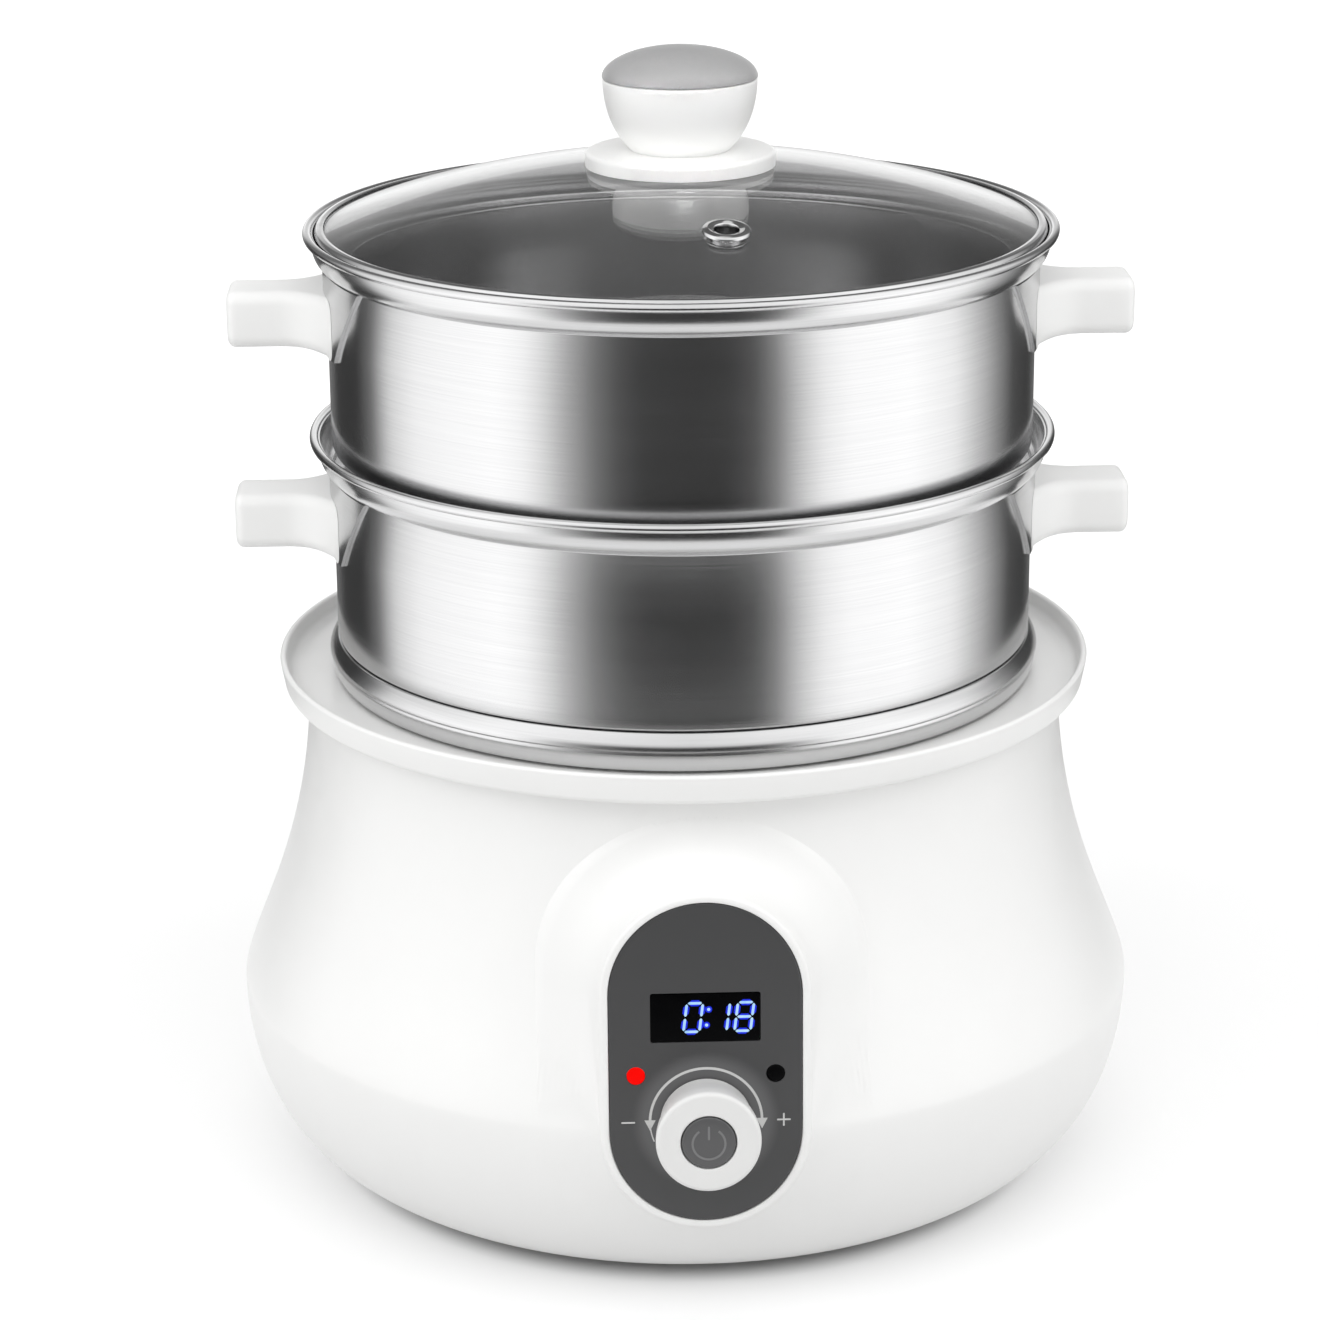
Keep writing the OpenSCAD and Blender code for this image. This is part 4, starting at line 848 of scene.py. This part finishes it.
# control knob with the power button in its middle
dial = {"baseR": 14.8, "frontR": 16.8, "length": 18.4, "buttonR": 8.65, "back": 0.2, "buttonBack": 14.6, "travel": 1.0,
        "round": 1.6, "boreR": 3.02, "bushR": 4.9, "bushDeep": 2.8, "stemR": 1.65, "stemEnd": -8.2, "dome": 0.12}
dialFrame = panelFrame @ Matrix.Translation((0, dialY * mm, 0))
baseR, frontR, buttonR, dialTop = dial["baseR"], dial["frontR"], dial["buttonR"], dial["length"]
wellZ = dial["buttonBack"] - dial["travel"] - 0.4
boreR, bushR, bushZ = dial["boreR"], dial["bushR"], dial["bushDeep"]
ringLine = [(bushR, dial["back"]), (baseR - 0.5, dial["back"]), (baseR - 0.1, dial["back"] + 0.15)]
ringLine += bezier((baseR, dial["back"] + 0.5), (baseR + 0.4, dialTop * 0.4), (frontR, dialTop * 0.6),
                   (frontR, dialTop - dial["round"]), 18)
ringLine += arc((frontR - dial["round"], dialTop - dial["round"]), dial["round"], 0, 90, 10)[1:]
ringLine += [(buttonR + 1.0, dialTop)] + arc((buttonR + 0.9, dialTop - 0.6), 0.6, 90, 180, 5)
ringLine += [(buttonR + 0.3, wellZ), (boreR, wellZ), (boreR, bushZ), (bushR, bushZ)]
knobPart = placed(revolve(ringLine, 144), dialFrame)
makePiece("controlKnob", knobPart, knobAbs, "dial", ["dial_knob"], sharp=40)

buttonLine = [(0.0, dial["buttonBack"]), (buttonR, dial["buttonBack"]), (buttonR, dialTop - 0.75)]
buttonLine += arc((buttonR - 0.7, dialTop - 0.6), 0.7, 0, 80, 6)
buttonLine += [(r, dialTop + dial["dome"] + dial["dome"] * (1 - (r / 8.0) ** 2)) for r in (8.0, 6.0, 4.0, 2.0, 0.0)]
stemTop = dial["buttonBack"] + 0.5
stem = revolve([(0.0, dial["stemEnd"]), (dial["stemR"], dial["stemEnd"]), (dial["stemR"], stemTop), (0.0, stemTop)], 32)
buttonPart = placed(joinParts(revolve(buttonLine, 96), stem), dialFrame)
makePiece("powerButtonCap", buttonPart, buttonAbs, "button", ["power_button"], sharp=40)

powerSign = {"r": 5.2, "w": 0.7, "open": 36.0, "bar": 4.6, "barY": 3.4, "arcY": -0.2, "up": 0.27, "t": 0.2}
signAbs = mouldedAbs("paleGreyInk", "#7c7c7d", "#747475", 0.45)
signLoops = [arcBand((0, powerSign["arcY"]), powerSign["r"], powerSign["w"], 90 + powerSign["open"],
                     450 - powerSign["open"], 48),
             roundedRect(0, powerSign["barY"], powerSign["w"], powerSign["bar"], 0.3, 4)]
signPart = flatFills(signLoops, dialTop + powerSign["up"], powerSign["t"])
makePiece("powerButtonSign", placed(signPart, dialFrame), signAbs, "button")
print("control panel drawn")

# spring under the heat sensor: wound wire, drawn at one length; the real one shortens as the cap goes down
spring = {"r": 10.0, "wire": 0.6, "turns": 6, "low": 34.78, "high": 56.02, "seat": 34.1, "travel": 2.0, "steps": 36,
          "sides": 12}


def coilPart():
    steps, sides = spring["steps"] * spring["turns"], spring["sides"]
    verts = []
    for i in range(steps + 1):
        turn = 2 * pi * spring["turns"] * i / steps
        z = spring["low"] + (spring["high"] - spring["low"]) * i / steps
        for a in (2 * pi * k / sides for k in range(sides)):
            verts.append(polar(spring["r"] + spring["wire"] * cos(a), turn, z + spring["wire"] * sin(a)))
    ends = [list(range(sides)), [steps * sides + k for k in range(sides - 1, -1, -1)]]
    return verts, ringFaces(steps + 1, sides) + ends


woundSpring = makePiece("woundSpring", coilPart(), zincSteel, "base", ["sensor_spring"], sharp=60)
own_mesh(woundSpring)
print("sensor spring wound")

# solids that keep their CAD shape get their finishes
finishes = {
    "liner": rolledSheet, "base_plate": darkAbs, "feet": footRubber, "base_screws": zincSteel,
    "heating_plate": heaterCast, "heating_element": sheathSteel, "sensor_cap": heaterCast, "sensor_holder": darkAbs,
    "power_inlet": darkAbs, "inlet_pins": nickelPins, "power_board_pcb": boardGreen, "relay": darkAbs,
    "transformer": windingTape, "display_module": darkAbs, "control_board": boardGreen, "encoder_body": darkAbs,
    "encoder_shaft": zincSteel, "tact_switch": darkAbs, "switch_plunger": darkAbs,
    "lower_handle_screws": zincSteel, "upper_handle_screws": zincSteel, "knob_gasket": silicone,
    "knob_screw": zincSteel, "knob_washer": silicone,
}
for nodeName, surface in finishes.items():
    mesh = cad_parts[nodeName].data
    mesh.materials.clear()
    mesh.materials.append(surface)
print("finishes on", len(finishes), "solids")

# floor: matt and pale, lifted to white away from the foot for the eye and for mirrors, with a painted contact shadow in
# a ring next to the foot where the lift is left out
studio = {"floor": 6.0, "floorZ": -0.0002, "floorTone": "#d8d8d8", "paleFrom": (0.2, 1.0), "lift": (0.34, 0.58),
          "contact": (0.117, 0.132), "horizon": 0.79, "zenith": 0.8}
lookedAt = ("Is Glossy Ray", "Is Transmission Ray", "Is Camera Ray")
half = studio["floor"] / 2
floorVerts = [(x, y, studio["floorZ"]) for x, y in ((-half, -half), (half, -half), (half, half), (-half, half))]
paleFloor = addObject("paleFloor", meshOf("paleFloor", (floorVerts, [[0, 1, 2, 3]])))
floorPaint, floorTree, floorAt = startSurface("mattWhiteFloor")
fromFoot = vectorValue(floorTree, "LENGTH", floorAt)
paler = mapRange(floorTree, fromFoot, *studio["paleFrom"], *studio["lift"], "SMOOTHSTEP")
# painted contact shadow: next to the foot the lift is taken away, so the floor stays darker there
paintedContactShadow = mapRange(floorTree, fromFoot, *studio["contact"], kind="SMOOTHSTEP")  # the foot keeps its dark contact line
lift = mathOf(floorTree, "MULTIPLY", mathOf(floorTree, "MULTIPLY", anyRay(floorTree, *lookedAt), paler), paintedContactShadow)
closeSurface(floorPaint, {"Base Color": hexLinear(studio["floorTone"]), "Roughness": 0.9, "Specular IOR Level": 0.0,
                          "Emission Color": (1, 1, 1, 1), "Emission Strength": lift})
paleFloor.data.materials.append(floorPaint)

# room: even light, plain white where it is looked at
world = bpy.data.worlds.new("softRoom")
scene.world = world
world.use_nodes = True
worldTree = world.node_tree
worldTree.nodes.clear()
skyAt = addNode(worldTree, "TexCoord").outputs["Generated"]
skyUp = addNode(worldTree, "SeparateXYZ", inputs={0: skyAt}).outputs[2]
soft = mapRange(worldTree, skyUp, 0.0, 1.0, studio["horizon"], studio["zenith"])
strength = mapRange(worldTree, anyRay(worldTree, *lookedAt), 0.0, 1.0, soft, 1.0)
sky = addNode(worldTree, "Background", inputs={"Color": (1, 1, 1, 1), "Strength": strength})
addNode(worldTree, "OutputWorld", inputs={"Surface": sky.outputs[0]})

# bright side walls, dark gaps and a bright upper front that only reflections see, as a light tent gives; a second,
# higher wall shows only in what the lid lets through. Tones go by the angle from the front, and at the rear by the
# height in metres
tent = {"r": 0.46, "high": 1.9, "lidHigh": 0.99, "split": 0.41, "turns": 180, "change": (0.29, 0.39),
        "behind": (0.34, 0.42), "gain": 2.0}
lowTone = [(-180, 0.14), (-152, 0.14), (-137, 0.05), (-118, 0.04), (-108, 0.2), (-98, 1.0), (-86, 1.35), (-75, 1.45),
           (-56, 1.55), (-48, 1.42), (-42, 1.1), (-35, 0.6), (-27, 0.22), (-20, 0.08), (-13, 0.03), (0, 0.02),
           (10, 0.025), (18, 0.08), (24, 0.28), (31, 0.85), (38, 1.3), (46, 1.5), (66, 1.56), (84, 1.3), (94, 0.85),
           (107, 0.35), (118, 0.08), (135, 0.05), (152, 0.14), (180, 0.14)]
highTone = [(-180, 0.14), (-150, 0.16), (-120, 0.2), (-100, 1.0), (-60, 1.45), (0, 1.1), (60, 1.45), (100, 1.0),
            (120, 0.2), (150, 0.16), (180, 0.14)]
lidTone = [(-180, 0.14), (-152, 0.16), (-137, 0.05), (-116, 0.05), (-98, 1.0), (-56, 1.55), (-40, 1.15), (-24, 0.26),
           (-12, 0.03), (11, 0.025), (26, 0.24), (41, 1.2), (66, 1.56), (98, 0.88), (125, 0.1), (152, 0.16),
           (180, 0.14)]
backTone = [(0, 0.14), (0.22, 0.2), (0.27, 0.45), (0.34, 1.25), (0.39, 1.1), (0.445, 0.65), (0.5, 0.32),
            (0.57, 0.16), (1, 0.14)]
lidBackTone = [(0, 0.14), (1, 0.14)]


def toneRamp(tree, tones, value, start, whole):
    node = addNode(tree, "ValToRGB", inputs={0: value})
    stops = node.color_ramp.elements
    stops[0].position, stops[1].position = 0.0, 1.0
    for place, tone in tones:
        at = (place - start) / whole
        stop = stops[0] if at == 0 else (stops[-1] if at == 1 else stops.new(at))
        stop.color = (tone / tent["gain"],) * 3 + (1,)
    return node.outputs[0]


# white tent cloth lit from outside: a soft glow that changes slowly round the object
def tentCloth(name, lower, upper, rear):
    cloth, tree, place = startSurface(name)
    x, y, z = addNode(tree, "SeparateXYZ", inputs={0: place}).outputs
    bearing = mathOf(tree, "ARCTAN2", x, mathOf(tree, "MULTIPLY", y, -1.0))
    share = mapRange(tree, bearing, -pi, pi)
    sides = mixTones(tree, mapRange(tree, z, *tent["change"], kind="SMOOTHSTEP"),
                     toneRamp(tree, lower, share, -180, 360), toneRamp(tree, upper, share, -180, 360))
    whole = mixTones(tree, mapRange(tree, y, *tent["behind"], kind="SMOOTHSTEP"), sides, toneRamp(tree, rear, z, 0, 1))
    return closeSurface(cloth, {"Color": whole, "Strength": tent["gain"]}, "Emission")


rayKinds = ("camera", "diffuse", "glossy", "transmission", "volume_scatter", "shadow")
for name, low, high, seenBy, cloth in (
        ("lightTent", 0.0, tent["high"], "glossy", tentCloth("tentCloth", lowTone, highTone, backTone)),
        ("lightTentHigh", tent["split"], tent["lidHigh"], "transmission",
         tentCloth("tentClothHigh", lidTone, lidTone, lidBackTone))):
    tentVerts, tentFaces = [], []
    for k in range(tent["turns"]):
        a = 2 * pi * k / tent["turns"]
        tentVerts += [(tent["r"] * sin(a), -tent["r"] * cos(a), z) for z in (low, high)]
        n = 2 * ((k + 1) % tent["turns"])
        tentFaces.append([2 * k, 2 * k + 1, n + 1, n])
    wallObject = addObject(name, meshOf(name, (tentVerts, tentFaces)))
    wallObject.data.materials.append(cloth)
    for kind in rayKinds:
        setattr(wallObject, "visible_" + kind, kind == seenBy)

# soft boxes: place, power in watts, width in metres, spread in degrees and the height they are aimed at
softBoxes = {"left": ((-1.5, -0.9, 1.35), 8.2, 1.1, 180, 0.18), "right": ((1.6, -0.7, 1.3), 6.2, 1.1, 180, 0.18),
             "top": ((0.0, -1.0, 1.9), 6.6, 1.3, 180, 0.18), "lid": ((-0.1, -1.4, 0.5), 0.0085, 0.1, 6, 0.36)}
for name, (spot, power, size, spread, aim) in softBoxes.items():
    lamp = bpy.data.lights.new(name + "SoftBox", "AREA")
    lamp.energy, lamp.size, lamp.shape, lamp.spread = power, size, "SQUARE", radians(spread)
    lampObject = addObject(name + "SoftBox", lamp)
    lampObject.location = spot
    lampObject.rotation_euler = (Vector((0, 0, aim)) - Vector(spot)).to_track_quat("-Z", "Y").to_euler()
    lampObject.visible_glossy = False

# camera: angles in degrees, lengths in metres, the focal length in millimetres for a 36 mm wide sensor
view = {"away": 1.274, "height": 0.5962, "turn": 2.4, "pitch": 18.28, "aside": 0.367, "roll": -0.45, "sensor": 36.0,
        "focal": 3827.0 / 1320.0 * 36.0}
camera = bpy.data.cameras.new("frontCamera")
camera.lens, camera.sensor_width, camera.sensor_fit = view["focal"], view["sensor"], "HORIZONTAL"
cameraObject = addObject("frontCamera", camera)
turned = radians(view["turn"])
cameraObject.matrix_world = (
    Matrix.Translation((-view["away"] * sin(turned), -view["away"] * cos(turned), view["height"]))
    @ Matrix.Rotation(-turned + radians(view["aside"]), 4, "Z")
    @ Matrix.Rotation(radians(90 - view["pitch"]), 4, "X") @ Matrix.Rotation(radians(view["roll"]), 4, "Z"))
scene.camera = cameraObject
scene.view_settings.view_transform = "Standard"
print("studio lit")
